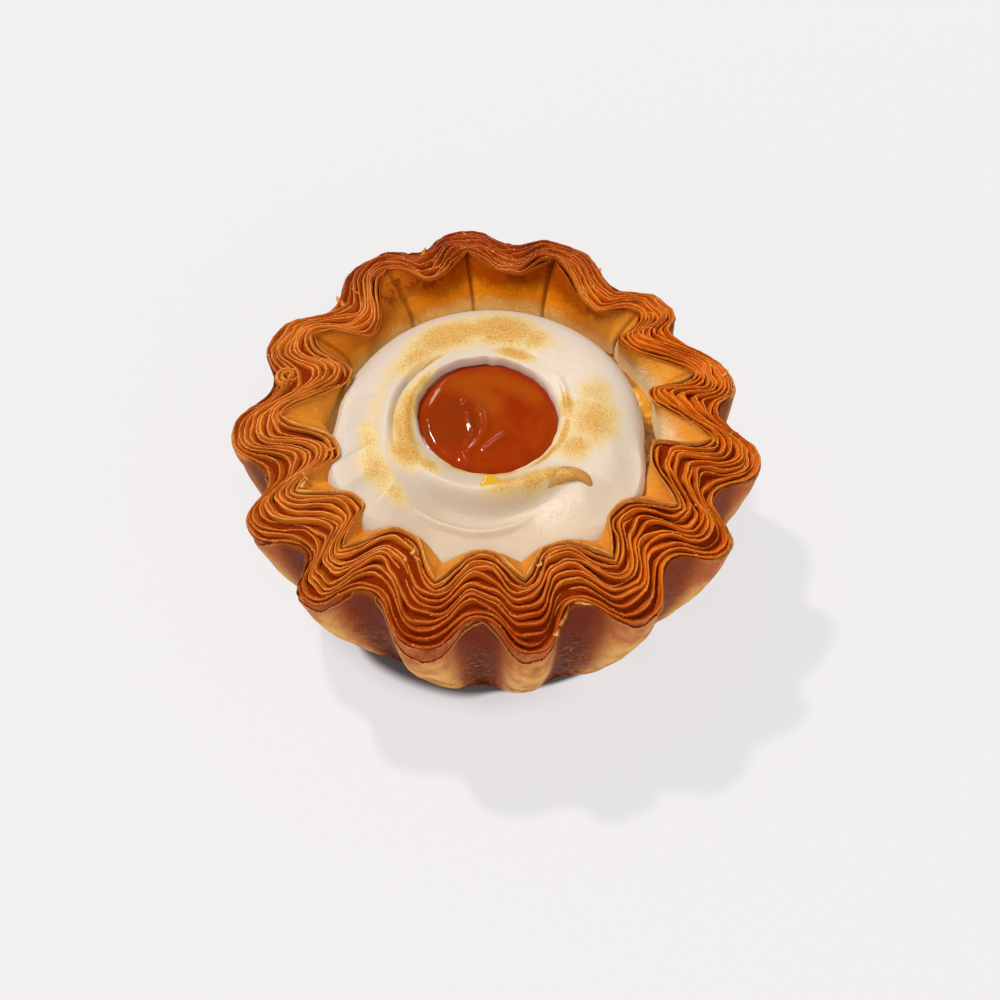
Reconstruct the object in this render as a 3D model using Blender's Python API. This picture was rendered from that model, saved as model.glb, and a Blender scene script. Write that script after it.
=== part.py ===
"""Parisian flan: a fluted laminated crust, its custard, a torched meringue ring and a caramel centre.

A standalone Blender 4.5 script, in metres with +Z up. The tart stands on z = 0, with its origin under its
middle. Lengths below are in millimetres, and solid_from_rings turns them into metres.

A bearing is an angle about +Z in degrees, counted from +X. A turn counts flutes round the crust: at a whole
turn the wall stands out in a lobe, and half way to the next it folds inwards. The share across the rim is 0
at its inner edge and 1 at its outer edge.
"""

import math
import random

import bmesh
import bpy

MM = 0.001

# Crust: heights, then how finely its surface is drawn
RIM_TOP = 42.5
RIM_LEVEL_RADIUS = 32.5  # inside this radius the rim is level, and beyond it the rim curves down
RIM_DROP_PER_MM2 = 0.02
LAYERS = 12
RIDGE_HEIGHT = 1.6  # from the bottom of a groove to the crest of a layer
RIDGE_UNEVENNESS = 0.3
OUTER_EDGE_DROP = 0.6  # how far the wall's outer edge lies under the crests
FLOOR_THICKNESS = 5.0
BASE_LOBE_RADIUS = 38.2
BASE_FOLD_RADIUS = 36.2
BASE_OFFSET = (0.7, -0.5)  # the base has baked a little off the rim's middle
BASE_EDGE = 1.6  # height of the rounded edge round the base
BASE_FLUTE_SHAPE = 0.8  # the base's flutes are shaped as the layers are this far across the rim
FLUTE_SHARPNESS = 0.42  # of the folds at the outer edge, and of the creases at the inner edge
WALL_BULGE = 1.6
WALL_FLUTING_AT_LEVEL = 0.12  # share of the rim's fluting that is left in the inner wall at the custard
CREASE_CLOSING = 2.8  # how soon the creases of the inner wall close up under the rim
COLUMNS_PER_FLUTE = 12
OUTER_WALL_ROWS = (0.0, 0.42, 0.8, 1.0)  # shares of its height
INNER_WALL_ROWS = (38.8, 35.8)  # heights, above the custard's level

# Each flute, in order round the crust: the bearings of its lobe and of the fold after it, then the reach
# from the axis of the lobe, of the fold, of the crease behind the lobe and of the bulge behind the fold,
# and how far the rim has sunk there
FLUTES = (
    (179.0, 169.5, 52.1, 44.9, 42.7, 31.0, 0.0),
    (151.0, 140.0, 50.5, 42.6, 40.9, 30.8, 0.0),
    (120.0, 109.5, 51.0, 45.8, 43.6, 35.6, 0.0),
    (97.8, 85.7, 53.0, 45.9, 42.4, 35.3, 0.0),
    (73.7, 55.5, 50.0, 41.8, 42.6, 33.2, 1.0),
    (44.0, 29.5, 47.6, 42.0, 39.4, 31.8, 2.6),
    (17.0, 1.8, 49.0, 44.6, 40.8, 31.4, 1.6),
    (-7.0, -23.3, 52.5, 46.4, 42.0, 32.0, 0.0),
    (-31.3, -44.5, 53.0, 47.0, 41.6, 32.0, 0.0),
    (-56.4, -70.7, 52.7, 45.6, 43.0, 32.9, 0.0),
    (-82.0, -93.8, 52.7, 46.9, 42.2, 32.7, 0.0),
    (-106.5, -121.0, 53.0, 47.0, 41.6, 32.8, 0.0),
    (-133.7, -141.0, 53.8, 47.9, 42.8, 33.2, 0.0),
    (-155.8, -163.5, 53.3, 46.6, 42.0, 31.4, 0.0),
)
LOBE_AND_FOLD_BEARINGS = [bearing for flute in FLUTES for bearing in flute[:2]]
LOBE_REACH, FOLD_REACH, CREASE_REACH, BULGE_REACH, RIM_SAG = (
    [flute[column] for flute in FLUTES] for column in range(2, 7)
)

# Custard
CUSTARD_LEVEL = 31.0
WALL_RADIUS_AT_LEVEL = 31.6
WALL_RADIUS_AT_FLOOR = 28.0
GAP = 0.35  # between pieces that touch
CUSTARD_COLUMN_STEP = 2  # the custard takes every second column of the crust

# Meringue: a piped ring whose middle is a little off the crust's axis
MERINGUE_CENTRE = (-1.0, -1.6)
MERINGUE_RADIUS = 30.0
MERINGUE_FRONT_SPREAD = 2.2  # how much further it spreads in front
MERINGUE_BELLY = 36.4  # height of its widest girth
MERINGUE_TOP = 45.2
MERINGUE_BACK_DROP = 2.2  # how much lower it is at the back
MERINGUE_CREST_RADIUS = 20.5
MERINGUE_ROUNDNESS = 2.2
MERINGUE_SHOULDERS = (0.45, 0.82)  # where its outline bends, between the foot of the step and its girth
MERINGUE_FOOT_INSET = 2.0
MERINGUE_WALL_GAP = 0.6
MERINGUE_COLUMNS = 60
STEP_BEARING = -92.0  # the front of the ring is pressed down outside its lip
STEP_SPREAD = 58.0
STEP_RADII = (20.0, 24.0)
STEP_SHARE = 0.46
STROKE_BEARINGS = (-98.0, -34.0)  # the last stroke of the piping bag stands up as a ridge
STROKE_RADII = (19.4, 25.6)
STROKE_HEIGHT = 1.5
STROKE_WIDTH = 2.2

# Caramel, and the well in the meringue that holds it
WELL_OFFSET = -0.7  # along X, from the middle of the meringue
WELL_RADIUS = 13.7
WELL_RADIUS_AT_FOOT = 12.2
LIP_RADIUS = 15.2
LIP_HEIGHT_AT_BACK = 42.2
LIP_HEIGHT_IN_FRONT = 43.3
CARAMEL_LEVEL = 41.4
CARAMEL_BLOB_HEIGHT = 0.7
CARAMEL_BLOB_SHARES = (0.72, 0.3)  # foot and top of the blob, as shares of the well's radius
CARAMEL_COLUMNS = 40


def mix(a, b, share):
    return a + (b - a) * share


def smooth_step(value, start, end):
    share = min(1.0, max(0.0, (value - start) / (end - start)))
    return share * share * (3.0 - 2.0 * share)


def round_the_ring(values, turn, turn_gain=0.0):
    """A smooth curve through values at the whole turns; going once round adds turn_gain."""
    count = len(values)
    whole = math.floor(turn)
    f = turn - whole
    a, b, c, d = (values[(whole + k) % count] + turn_gain * ((whole + k) // count) for k in (-1, 0, 1, 2))
    return b + 0.5 * f * (c - a + f * (2 * a - 5 * b + 4 * c - d + f * (3 * (b - c) + d - a)))


def bearing_at(turn):
    return round_the_ring(LOBE_AND_FOLD_BEARINGS, 2.0 * turn, -360.0)


def turn_at(bearing):
    """The turn at a bearing, found by halving, as bearings fall from one flute to the next."""
    low, high = 0.0, float(len(FLUTES))
    bearing = bearing_at(high) + (bearing - bearing_at(high)) % 360.0
    for _ in range(40):
        middle = 0.5 * (low + high)
        if bearing_at(middle) > bearing:
            low = middle
        else:
            high = middle
    return low


def flute_wave(turn, across):
    """1 on a lobe and 0 on a fold: round lobes and sharp folds outside, the reverse inside."""
    rise = 0.5 + 0.5 * math.cos(2.0 * math.pi * turn)
    sharpness = 1.0 - FLUTE_SHARPNESS * abs(2.0 * across - 1.0) ** 1.4
    if across > 0.5:
        return rise**sharpness
    return 1.0 - (1.0 - rise) ** sharpness


def rim_radius(turn, across):
    lobe = mix(round_the_ring(CREASE_REACH, turn), round_the_ring(LOBE_REACH, turn), across)
    fold = mix(round_the_ring(BULGE_REACH, turn - 0.5), round_the_ring(FOLD_REACH, turn - 0.5), across)
    return mix(fold, lobe, flute_wave(turn, across))


def rim_height(turn, radius):
    over = max(0.0, radius - RIM_LEVEL_RADIUS)
    return RIM_TOP - RIM_DROP_PER_MM2 * over * over - round_the_ring(RIM_SAG, turn)


def on_the_rim(turn, across, lift):
    """(radius, height) on the rim, moved by lift along the way its layers stand."""
    radius = rim_radius(turn, across)
    slope = math.atan(2.0 * RIM_DROP_PER_MM2 * max(0.0, radius - RIM_LEVEL_RADIUS))
    return radius + lift * math.sin(slope), rim_height(turn, radius) + lift * math.cos(slope)


def inner_wall_radius(turn, height):
    """The inner wall: fluted under the rim, where its creases soon close up, and nearly round below."""
    top_radius, top = on_the_rim(turn, 0.0, -RIDGE_HEIGHT)
    level_radius = mix(WALL_RADIUS_AT_LEVEL, top_radius, WALL_FLUTING_AT_LEVEL)
    if height >= CUSTARD_LEVEL:
        share = min(1.0, (height - CUSTARD_LEVEL) / (top - CUSTARD_LEVEL))
        return mix(level_radius, top_radius, share**CREASE_CLOSING)
    share = (CUSTARD_LEVEL - height) / (CUSTARD_LEVEL - FLOOR_THICKNESS)
    return mix(level_radius, WALL_RADIUS_AT_FLOOR, share)


def base_radius(turn):
    angle = math.radians(bearing_at(turn))
    off = BASE_OFFSET[0] * math.cos(angle) + BASE_OFFSET[1] * math.sin(angle)
    return mix(BASE_FOLD_RADIUS, BASE_LOBE_RADIUS, flute_wave(turn, BASE_FLUTE_SHAPE)) + off


def outer_wall(turn, share):
    """(radius, height) on the fluted outside, from the base's edge at share 0 to the rim at share 1."""
    top_radius, top = on_the_rim(turn, 1.0, -OUTER_EDGE_DROP)
    bulge = WALL_BULGE * math.sin(math.pi * share)
    return mix(base_radius(turn), top_radius, share) + bulge, mix(BASE_EDGE, top, share)


def crust_section(turn, unevenness):
    """The crust's outline at one turn, from its foot over the layered rim and down to its floor."""
    section = [(base_radius(turn) - BASE_EDGE, 0.0)]
    section += [outer_wall(turn, share) for share in OUTER_WALL_ROWS]
    for layer in range(LAYERS):
        crest = 1.0 - (layer + 0.5) / LAYERS
        section.append(on_the_rim(turn, crest, unevenness[layer]))
        if layer < LAYERS - 1:
            section.append(on_the_rim(turn, crest - 0.5 / LAYERS, -RIDGE_HEIGHT))
    section.append(on_the_rim(turn, 0.0, -RIDGE_HEIGHT))
    for height in (*INNER_WALL_ROWS, CUSTARD_LEVEL, FLOOR_THICKNESS):
        section.append((inner_wall_radius(turn, height), height))
    return section


def centring_shift():
    """What brings the middle of the crust's outline onto the axis."""
    corners = []
    for step in range(len(FLUTES) * COLUMNS_PER_FLUTE):
        turn = step / COLUMNS_PER_FLUTE
        radius = on_the_rim(turn, 1.0, 0.0)[0]
        angle = math.radians(bearing_at(turn))
        corners.append((radius * math.cos(angle), radius * math.sin(angle)))
    return tuple(-0.5 * (min(axis) + max(axis)) for axis in zip(*corners))


SHIFT = centring_shift()


def material(name, colour, roughness):
    made = bpy.data.materials.new(name)
    made.use_nodes = True
    shader = made.node_tree.nodes["Principled BSDF"]
    shader.inputs["Base Color"].default_value = (*colour, 1.0)
    shader.inputs["Roughness"].default_value = roughness
    shader.inputs["Metallic"].default_value = 0.0
    return made


def solid_from_rings(name, rings, look, centre=(0.0, 0.0), hollow=False):
    """A closed solid through rings of (bearing, radius, height).

    It's capped at both ends, or where it's hollow its last ring joins its first."""
    built = bmesh.new()
    loops = []
    for ring in rings:
        loop = []
        for bearing, radius, height in ring:
            angle = math.radians(bearing)
            x = centre[0] + SHIFT[0] + radius * math.cos(angle)
            y = centre[1] + SHIFT[1] + radius * math.sin(angle)
            loop.append(built.verts.new((x * MM, y * MM, height * MM)))
        loops.append(loop)
    if hollow:
        loops.append(loops[0])
    else:
        built.faces.new(loops[0])
        built.faces.new(loops[-1])
    for lower, upper in zip(loops, loops[1:]):
        for i in range(len(lower)):
            j = (i + 1) % len(lower)
            built.faces.new((lower[i], lower[j], upper[j], upper[i]))
    bmesh.ops.recalc_face_normals(built, faces=built.faces)
    mesh = bpy.data.meshes.new(name)
    built.to_mesh(mesh)
    built.free()
    mesh.shade_smooth()
    mesh.set_sharp_from_angle(angle=math.radians(50.0))
    mesh.materials.append(look)
    bpy.context.scene.collection.objects.link(bpy.data.objects.new(name, mesh))


def rings_from_sections(sections):
    """Turns (bearing, outline) pairs into the rings that run through them."""
    rows = range(len(sections[0][1]))
    return [[(bearing, *outline[row]) for bearing, outline in sections] for row in rows]


def crust():
    """The crust, with the edges of its upright layers as ridges that follow the flutes round the rim."""
    draw = random.Random(7)
    tilt = [[draw.uniform(-1.0, 1.0) for _ in FLUTES] for _ in range(LAYERS)]
    sections = []
    for step in range(len(FLUTES) * COLUMNS_PER_FLUTE):
        turn = step / COLUMNS_PER_FLUTE
        unevenness = [RIDGE_UNEVENNESS * round_the_ring(tilt[layer], turn) for layer in range(LAYERS)]
        sections.append((bearing_at(turn), crust_section(turn, unevenness)))
    look = material("baked_crust", (0.40, 0.12, 0.02), 0.45)
    solid_from_rings("crust", rings_from_sections(sections), look)


def custard():
    """The set custard, which fills the crust from its floor to just under the meringue."""
    rings = []
    for height in (FLOOR_THICKNESS + GAP, CUSTARD_LEVEL):
        ring = []
        for step in range(0, len(FLUTES) * COLUMNS_PER_FLUTE, CUSTARD_COLUMN_STEP):
            turn = step / COLUMNS_PER_FLUTE
            ring.append((bearing_at(turn), inner_wall_radius(turn, height) - GAP, height))
        rings.append(ring)
    solid_from_rings("custard", rings, material("egg_custard", (0.62, 0.30, 0.03), 0.3))


def meringue_reach(bearing, height):
    """How far the meringue spreads at a bearing from its own middle, stopping short of the crust."""
    angle = math.radians(bearing)
    free = MERINGUE_RADIUS + MERINGUE_FRONT_SPREAD * max(0.0, -math.sin(angle)) ** 2
    reach = free
    for _ in range(12):
        x = MERINGUE_CENTRE[0] + reach * math.cos(angle)
        y = MERINGUE_CENTRE[1] + reach * math.sin(angle)
        room = inner_wall_radius(turn_at(math.degrees(math.atan2(y, x))), height) - math.hypot(x, y)
        reach += 0.7 * (room - MERINGUE_WALL_GAP)
    return min(free, reach)


def meringue_height(radius, bearing, girth):
    """Height of the meringue's top: a dome, pressed down in front, with the ridge of the last stroke."""
    front = 0.5 - 0.5 * math.sin(math.radians(bearing))
    top = MERINGUE_TOP - MERINGUE_BACK_DROP * (1.0 - front)
    if radius <= MERINGUE_CREST_RADIUS:
        inward = (MERINGUE_CREST_RADIUS - radius) / (MERINGUE_CREST_RADIUS - LIP_RADIUS)
        height = mix(top, mix(LIP_HEIGHT_AT_BACK, LIP_HEIGHT_IN_FRONT, front), inward**2)
    else:
        outward = min(1.0, (radius - MERINGUE_CREST_RADIUS) / (girth - MERINGUE_CREST_RADIUS))
        height = mix(MERINGUE_BELLY, top, (1.0 - outward**MERINGUE_ROUNDNESS) ** (1.0 / MERINGUE_ROUNDNESS))
    off_step = abs((bearing - STEP_BEARING + 180.0) % 360.0 - 180.0)
    in_step = smooth_step(radius, *STEP_RADII) * smooth_step(off_step, STEP_SPREAD, 0.4 * STEP_SPREAD)
    height = mix(height, MERINGUE_BELLY, STEP_SHARE * in_step)
    turned = (bearing - STROKE_BEARINGS[0]) % 360.0 / (STROKE_BEARINGS[1] - STROKE_BEARINGS[0])
    if turned < 1.0:
        off_ridge = (radius - mix(*STROKE_RADII, turned**3)) / STROKE_WIDTH
        height += STROKE_HEIGHT * math.sin(math.pi * turned**1.5) * math.exp(-off_ridge * off_ridge)
    return height


def meringue():
    """A ring round the caramel: its outline runs from the foot of the well, over the top and down outside."""
    sections = []
    crest, step_foot = MERINGUE_CREST_RADIUS, STEP_RADII[1]
    for step in range(MERINGUE_COLUMNS):
        bearing = 360.0 * step / MERINGUE_COLUMNS
        girth = meringue_reach(bearing, MERINGUE_BELLY)
        foot = meringue_reach(bearing, CUSTARD_LEVEL) - MERINGUE_FOOT_INSET
        off = WELL_OFFSET * math.cos(math.radians(bearing))
        outline = [(WELL_RADIUS_AT_FOOT + off, CUSTARD_LEVEL + GAP), (WELL_RADIUS + off, CARAMEL_LEVEL)]
        shoulders = [mix(step_foot, girth, share) for share in MERINGUE_SHOULDERS]
        for radius in (LIP_RADIUS, 0.5 * (LIP_RADIUS + crest), crest, step_foot, *shoulders):
            height = meringue_height(radius, bearing, girth)
            outline.append((radius + off * smooth_step(radius, crest, LIP_RADIUS), height))
        outline += [(girth, MERINGUE_BELLY), (foot, CUSTARD_LEVEL + GAP)]
        sections.append((bearing, outline))
    look = material("torched_meringue", (0.78, 0.62, 0.44), 0.5)
    solid_from_rings("meringue", rings_from_sections(sections), look, MERINGUE_CENTRE, hollow=True)


def caramel():
    """Soft caramel standing in the meringue's well, a little proud where the last blob of it sank in."""
    blob_foot, blob_top = (share * WELL_RADIUS for share in CARAMEL_BLOB_SHARES)
    outline = (
        (WELL_RADIUS_AT_FOOT - GAP, CUSTARD_LEVEL + GAP),
        (WELL_RADIUS - GAP, CARAMEL_LEVEL),
        (blob_foot, CARAMEL_LEVEL + 0.15 * CARAMEL_BLOB_HEIGHT),
        (blob_top, CARAMEL_LEVEL + CARAMEL_BLOB_HEIGHT),
    )
    bearings = [360.0 * step / CARAMEL_COLUMNS for step in range(CARAMEL_COLUMNS)]
    rings = [[(bearing, radius, height) for bearing in bearings] for radius, height in outline]
    centre = (MERINGUE_CENTRE[0] + WELL_OFFSET, MERINGUE_CENTRE[1])
    solid_from_rings("caramel", rings, material("caramel", (0.33, 0.04, 0.003), 0.12), centre)


def main():
    for leftover in list(bpy.data.objects):
        bpy.data.objects.remove(leftover)
    crust()
    custard()
    meringue()
    caramel()


main()
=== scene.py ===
# Parisian flan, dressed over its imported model: a fluted laminated crust, custard, torched meringue, caramel.
# Lengths are in millimetres until a mesh is made. A bearing is an angle about +Z in degrees, from +X, and a
# turn counts flutes round the crust: a whole turn is a lobe, half way to the next is a fold.
import math

import bmesh
import bpy
import numpy as np
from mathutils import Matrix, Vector


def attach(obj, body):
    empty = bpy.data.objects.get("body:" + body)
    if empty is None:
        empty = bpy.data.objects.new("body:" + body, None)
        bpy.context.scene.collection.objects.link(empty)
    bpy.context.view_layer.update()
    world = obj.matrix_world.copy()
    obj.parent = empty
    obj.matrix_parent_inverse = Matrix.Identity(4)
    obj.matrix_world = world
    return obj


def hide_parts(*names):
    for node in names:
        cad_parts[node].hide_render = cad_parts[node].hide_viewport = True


mm = 0.001
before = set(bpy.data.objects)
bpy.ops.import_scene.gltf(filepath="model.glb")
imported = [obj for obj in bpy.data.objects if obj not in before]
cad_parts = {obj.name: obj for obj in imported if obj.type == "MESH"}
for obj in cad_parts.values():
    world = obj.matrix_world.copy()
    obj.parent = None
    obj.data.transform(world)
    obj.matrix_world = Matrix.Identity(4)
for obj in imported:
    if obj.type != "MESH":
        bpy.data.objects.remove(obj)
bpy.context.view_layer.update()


# Shader and geometry nodes, written as Python

class Wire:
    # a node's output in Python arithmetic: each operator adds one Math node
    def __init__(self, nodes, socket):
        self.nodes, self.socket = nodes, socket

    def also(self, name):
        return Wire(self.nodes, findSocket(self.socket.node.outputs, name))

    def __add__(self, value):
        return self.nodes.maths("ADD", self, value)

    def __sub__(self, value):
        return self.nodes.maths("SUBTRACT", self, value)

    def __rsub__(self, value):
        return self.nodes.maths("SUBTRACT", value, self)

    def __mul__(self, value):
        return self.nodes.maths("MULTIPLY", self, value)

    def __truediv__(self, value):
        return self.nodes.maths("DIVIDE", self, value)

    def __rtruediv__(self, value):
        return self.nodes.maths("DIVIDE", value, self)

    __radd__ = __add__
    __rmul__ = __mul__


def findSocket(sockets, name):
    return next((s for s in sockets if s.identifier == name), None) or sockets[name]


class Nodes:
    def __init__(self, tree):
        self.tree = tree

    def add(self, kind, settings={}, inputs={}, output=0):
        node = self.tree.nodes.new(kind)
        for name, value in settings.items():
            setattr(node, name, value)
        for name, value in inputs.items():
            socket = findSocket(node.inputs, name)
            if isinstance(value, Wire):
                self.tree.links.new(value.socket, socket)
            else:
                socket.default_value = value
        return Wire(self, node.outputs[output]) if len(node.outputs) else node

    def maths(self, operation, *values):
        inputs = dict(zip(("Value", "Value_001", "Value_002"), values))
        return self.add("ShaderNodeMath", {"operation": operation}, inputs)

    def vectors(self, operation, *values, scale=1.0):
        inputs = dict(zip(("Vector", "Vector_001", "Vector_002"), values))
        return self.add("ShaderNodeVectorMath", {"operation": operation}, {**inputs, "Scale": scale})

    def ramp(self, value, low, high):
        # a smooth rise from 0 at low to 1 at high, or a fall where low is the greater
        inputs = {"Value": value, "From Min": low, "From Max": high}
        if low > high:
            inputs = {"Value": value, "From Min": high, "From Max": low, "To Min": 1.0, "To Max": 0.0}
        return self.add("ShaderNodeMapRange", {"interpolation_type": "SMOOTHSTEP"}, inputs)

    def mix(self, share, first, second, blend="MIX"):
        settings = {"data_type": "RGBA", "blend_type": blend}
        inputs = {"Factor_Float": share, "A_Color": first, "B_Color": second}
        return self.add("ShaderNodeMix", settings, inputs, output=2)

    def fade(self, value, low, high, first, second):
        # from the first 8-bit colour to the second as the value goes from low to high
        return self.mix(self.ramp(value, low, high), seen(*first), seen(*second))

    def layered(self, colour, *layers):
        # paints over a colour; each layer is its share and its 8-bit colour
        for share, paint in layers:
            colour = self.mix(share, colour, seen(*paint))
        return colour

    def tinted(self, colour, *layers):
        # the same, but each layer multiplies the colour under it
        for share, tint in layers:
            colour = self.mix(share, colour, self.mix(1.0, colour, seen(*tint), "MULTIPLY"))
        return colour

    def attribute(self, name):
        return self.add("ShaderNodeAttribute", {"attribute_name": name}).also("Fac")

    def named(self, name, kind="FLOAT"):
        # an attribute inside a geometry node tree
        return self.add("GeometryNodeInputNamedAttribute", {"data_type": kind}, {"Name": name})

    def place(self):
        # object coordinates in millimetres
        coordinates = self.add("ShaderNodeTexCoord").also("Object")
        return self.vectors("SCALE", coordinates, scale=1.0 / mm)

    def xAndY(self, place):
        x = self.add("ShaderNodeSeparateXYZ", {}, {"Vector": place})
        return x, x.also("Y")

    def noise(self, place, size, detail=3.0, roughness=0.55, distortion=0.0):
        inputs = {"Vector": place, "Scale": 1.0 / size, "Detail": detail, "Roughness": roughness}
        return self.add("ShaderNodeTexNoise", {}, {**inputs, "Distortion": distortion}).also("Fac")

    def spots(self, place, size):
        # distance from the nearest of many scattered points, as a share of their spacing
        return self.add("ShaderNodeTexVoronoi", {}, {"Vector": place, "Scale": 1.0 / size}).also("Distance")

    def stretched(self, place, scale):
        return self.vectors("MULTIPLY", place, scale)

    def bump(self, height, distance, strength):
        inputs = {"Height": height, "Distance": distance * mm, "Strength": strength}
        return self.add("ShaderNodeBump", {}, inputs)


def seen(red, green, blue):
    # an 8-bit colour as it is seen, made linear
    linear = [c / 3294.6 if c <= 10 else ((c / 255 + 0.055) / 1.055) ** 2.4 for c in (red, green, blue)]
    return (*linear, 1.0)


def newMaterial(name, constants):
    # constants stay on the shader's own sockets; what varies is linked by the caller
    material = bpy.data.materials.new(name)
    material.use_nodes = True
    nodes = Nodes(material.node_tree)
    shader = material.node_tree.nodes["Principled BSDF"]
    for socketName, value in constants.items():
        shader.inputs[socketName].default_value = value

    def feed(socketName, wire):
        nodes.tree.links.new(wire.socket, shader.inputs[socketName])

    return material, nodes, feed


# Meshes

def newPiece(name, points, faces, material, attributes={}, edges=()):
    mesh = bpy.data.meshes.new(name)
    mesh.from_pydata((np.asarray(points) * mm).tolist(), edges, faces)
    for attributeName, values in attributes.items():
        layer = mesh.attributes.new(attributeName, "FLOAT", "POINT")
        layer.data.foreach_set("value", np.asarray(values, np.float32).ravel())
    mesh.materials.append(material)
    mesh.shade_smooth()
    piece = bpy.data.objects.new(name, mesh)
    bpy.context.scene.collection.objects.link(piece)
    return piece


def turnOutwards(piece):
    built = bmesh.new()
    built.from_mesh(piece.data)
    bmesh.ops.recalc_face_normals(built, faces=built.faces)
    built.to_mesh(piece.data)
    built.free()


def ringFaces(rows, columns, joined=False):
    # quads between rows of points that each close into a ring; joined also joins the last row to the first
    faces = []
    for row in range(rows if joined else rows - 1):
        low, high = row * columns, (row + 1) % rows * columns
        for i in range(columns):
            after = (i + 1) % columns
            faces.append((low + i, low + after, high + after, high + i))
    return faces


def poleFaces(pole, firstOfRing, columns):
    return [(pole, firstOfRing + i, firstOfRing + (i + 1) % columns) for i in range(columns)]


def cappedRings(rings, firstPole, lastPole):
    # the points and faces of a row of rings that a pole closes at either end
    columns = len(rings[0])
    points = np.concatenate([*rings, [firstPole, lastPole]])
    faces = ringFaces(len(rings), columns)
    faces += poleFaces(len(points) - 2, 0, columns)
    faces += poleFaces(len(points) - 1, (len(rings) - 1) * columns, columns)
    return points, faces


def dress(piece, node, slot):
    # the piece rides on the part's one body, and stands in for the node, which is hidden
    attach(piece, "root")
    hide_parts(node)
    print(piece.name, len(piece.data.polygons), "faces")


def makePiece(name, points, faces, material, node, slot, attributes={}):
    piece = newPiece(name, points, faces, material, attributes)
    turnOutwards(piece)
    dress(piece, node, slot)


def mix(a, b, share):
    return a + (b - a) * share


def smoothStep(value, start, end):
    share = np.clip((value - start) / (end - start), 0.0, 1.0)
    return share * share * (3.0 - 2.0 * share)


def hump(distance, width):
    return np.exp(-((distance / width) ** 2))


# The flutes: bearings of each lobe and of the fold after it, the reach of the lobe, of the fold, of the
# crease behind the lobe and of the bulge behind the fold, how far the rim has sunk, and how wide the outer
# skin is, as a share of the rim
flutes = (
    (179.0, 169.5, 52.1, 44.9, 41.9, 29.7, 0.0, 0.05),
    (151.0, 140.0, 50.5, 42.6, 40.9, 30.8, 0.0, 0.02),
    (120.0, 109.5, 51.0, 45.8, 43.6, 35.6, 0.0, 0.02),
    (97.8, 85.7, 53.0, 45.9, 42.4, 35.3, 0.0, 0.03),
    (73.7, 55.5, 50.0, 41.8, 42.6, 33.2, 1.0, 0.03),
    (44.0, 29.5, 47.6, 42.0, 39.4, 31.0, 2.6, 0.04),
    (17.0, 1.8, 49.0, 44.6, 40.8, 30.3, 1.6, 0.07),
    (-7.0, -23.3, 52.5, 46.4, 42.0, 31.2, 0.0, 0.06),
    (-31.3, -44.5, 53.0, 47.0, 40.4, 32.0, 0.0, 0.05),
    (-56.4, -70.7, 52.7, 45.6, 40.0, 32.9, 0.0, 0.04),
    (-82.0, -93.8, 52.7, 46.9, 38.6, 32.7, 0.0, 0.06),
    (-106.5, -121.0, 53.0, 47.0, 40.2, 32.8, 0.0, 0.07),
    (-133.7, -141.0, 53.8, 47.9, 42.2, 33.2, 0.0, 0.05),
    (-155.8, -163.5, 53.3, 46.6, 42.0, 31.4, 0.0, 0.06),
)
lobeAndFoldBearings = [bearing for flute in flutes for bearing in flute[:2]]
lobeReach, foldReach, creaseReach, bulgeReach, rimSag, skinWidth = list(zip(*flutes))[2:]

crustShape = {
    "rimTop": 42.5,
    "rimLevelRadius": 32.5,
    "rimDropPerMm2": 0.02,
    "ridgeHeight": 0.35,
    "outerEdgeDrop": 0.6,
    "floorThickness": 5.0,
    "baseLobeRadius": 38.2,
    "baseFoldRadius": 36.2,
    "baseOffset": (0.7, -0.5),
    "baseEdge": 1.6,
    "baseFluteShape": 0.8,
    "foldSharpness": 0.25,
    "creaseSharpness": (0.5, 0.5, 0.5, 0.7, 0.7, 0.5, 0.6, 0.55, 0.55, 0.7, 0.65, 0.6, 0.6, 0.55),
    # degrees by which each bulge leans round, away from the fold outside it
    "bulgeLean": (-7.0, 0.0, 0.0, 0.0, 0.0, 8.5, 7.5, 7.5, 0.0, 0.0, 0.0, 0.0, 0.0, 0.0),
    "fluteFullness": 0.035,  # how far lobes and folds swell beyond a plain wave, in turns
    "wallBulge": 1.6,
    "wallFlutingAtLevel": 0.12,
    "creaseClosing": (8.0, 7.0, 4.0, 2.8, 2.8, 3.5, 5.0, 8.0, 9.0, 9.0, 9.0, 9.0, 9.0, 9.0),
    "creaseLineWidth": 0.022,  # in turns
    "creaseLineDepth": (0.2, 0.2, 0.6, 0.9, 0.9, 0.6, 0.3, 0.0, 0.0, 0.0, 0.0, 0.0, 0.0, 0.0),
    # the smooth band inside the leaves, as a share of the rim, at each crease and at the bulge after it
    "bandWidth": (0.04, 0.03, 0.03, 0.03, 0.03, 0.03, 0.03, 0.03, 0.03, 0.03, 0.03, 0.03, 0.03, 0.03,
                  0.03, 0.03, 0.03, 0.03, 0.03, 0.03, 0.05, 0.03, 0.04, 0.03, 0.04, 0.03, 0.05, 0.04),
    "custardLevel": 31.0,
    "wallRadiusAtLevel": 31.6,
    "wallRadiusAtFloor": 28.0,
}


def roundTheRing(values, turn, turnGain=0.0):
    # a smooth curve through values at the whole turns; going once round adds turnGain
    values, turn = np.asarray(values, float), np.asarray(turn, float)
    count = len(values)
    whole = np.floor(turn).astype(int)
    f = turn - whole
    a, b, c, d = (values[(whole + k) % count] + turnGain * ((whole + k) // count) for k in (-1, 0, 1, 2))
    return b + 0.5 * f * (c - a + f * (2 * a - 5 * b + 4 * c - d + f * (3 * (b - c) + d - a)))


def unevenRing(seed, turn, knots):
    # a smooth chance curve between -1 and 1 that closes round the ring
    return roundTheRing(np.random.default_rng(seed).uniform(-1.0, 1.0, knots), turn * knots / len(flutes))


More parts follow.
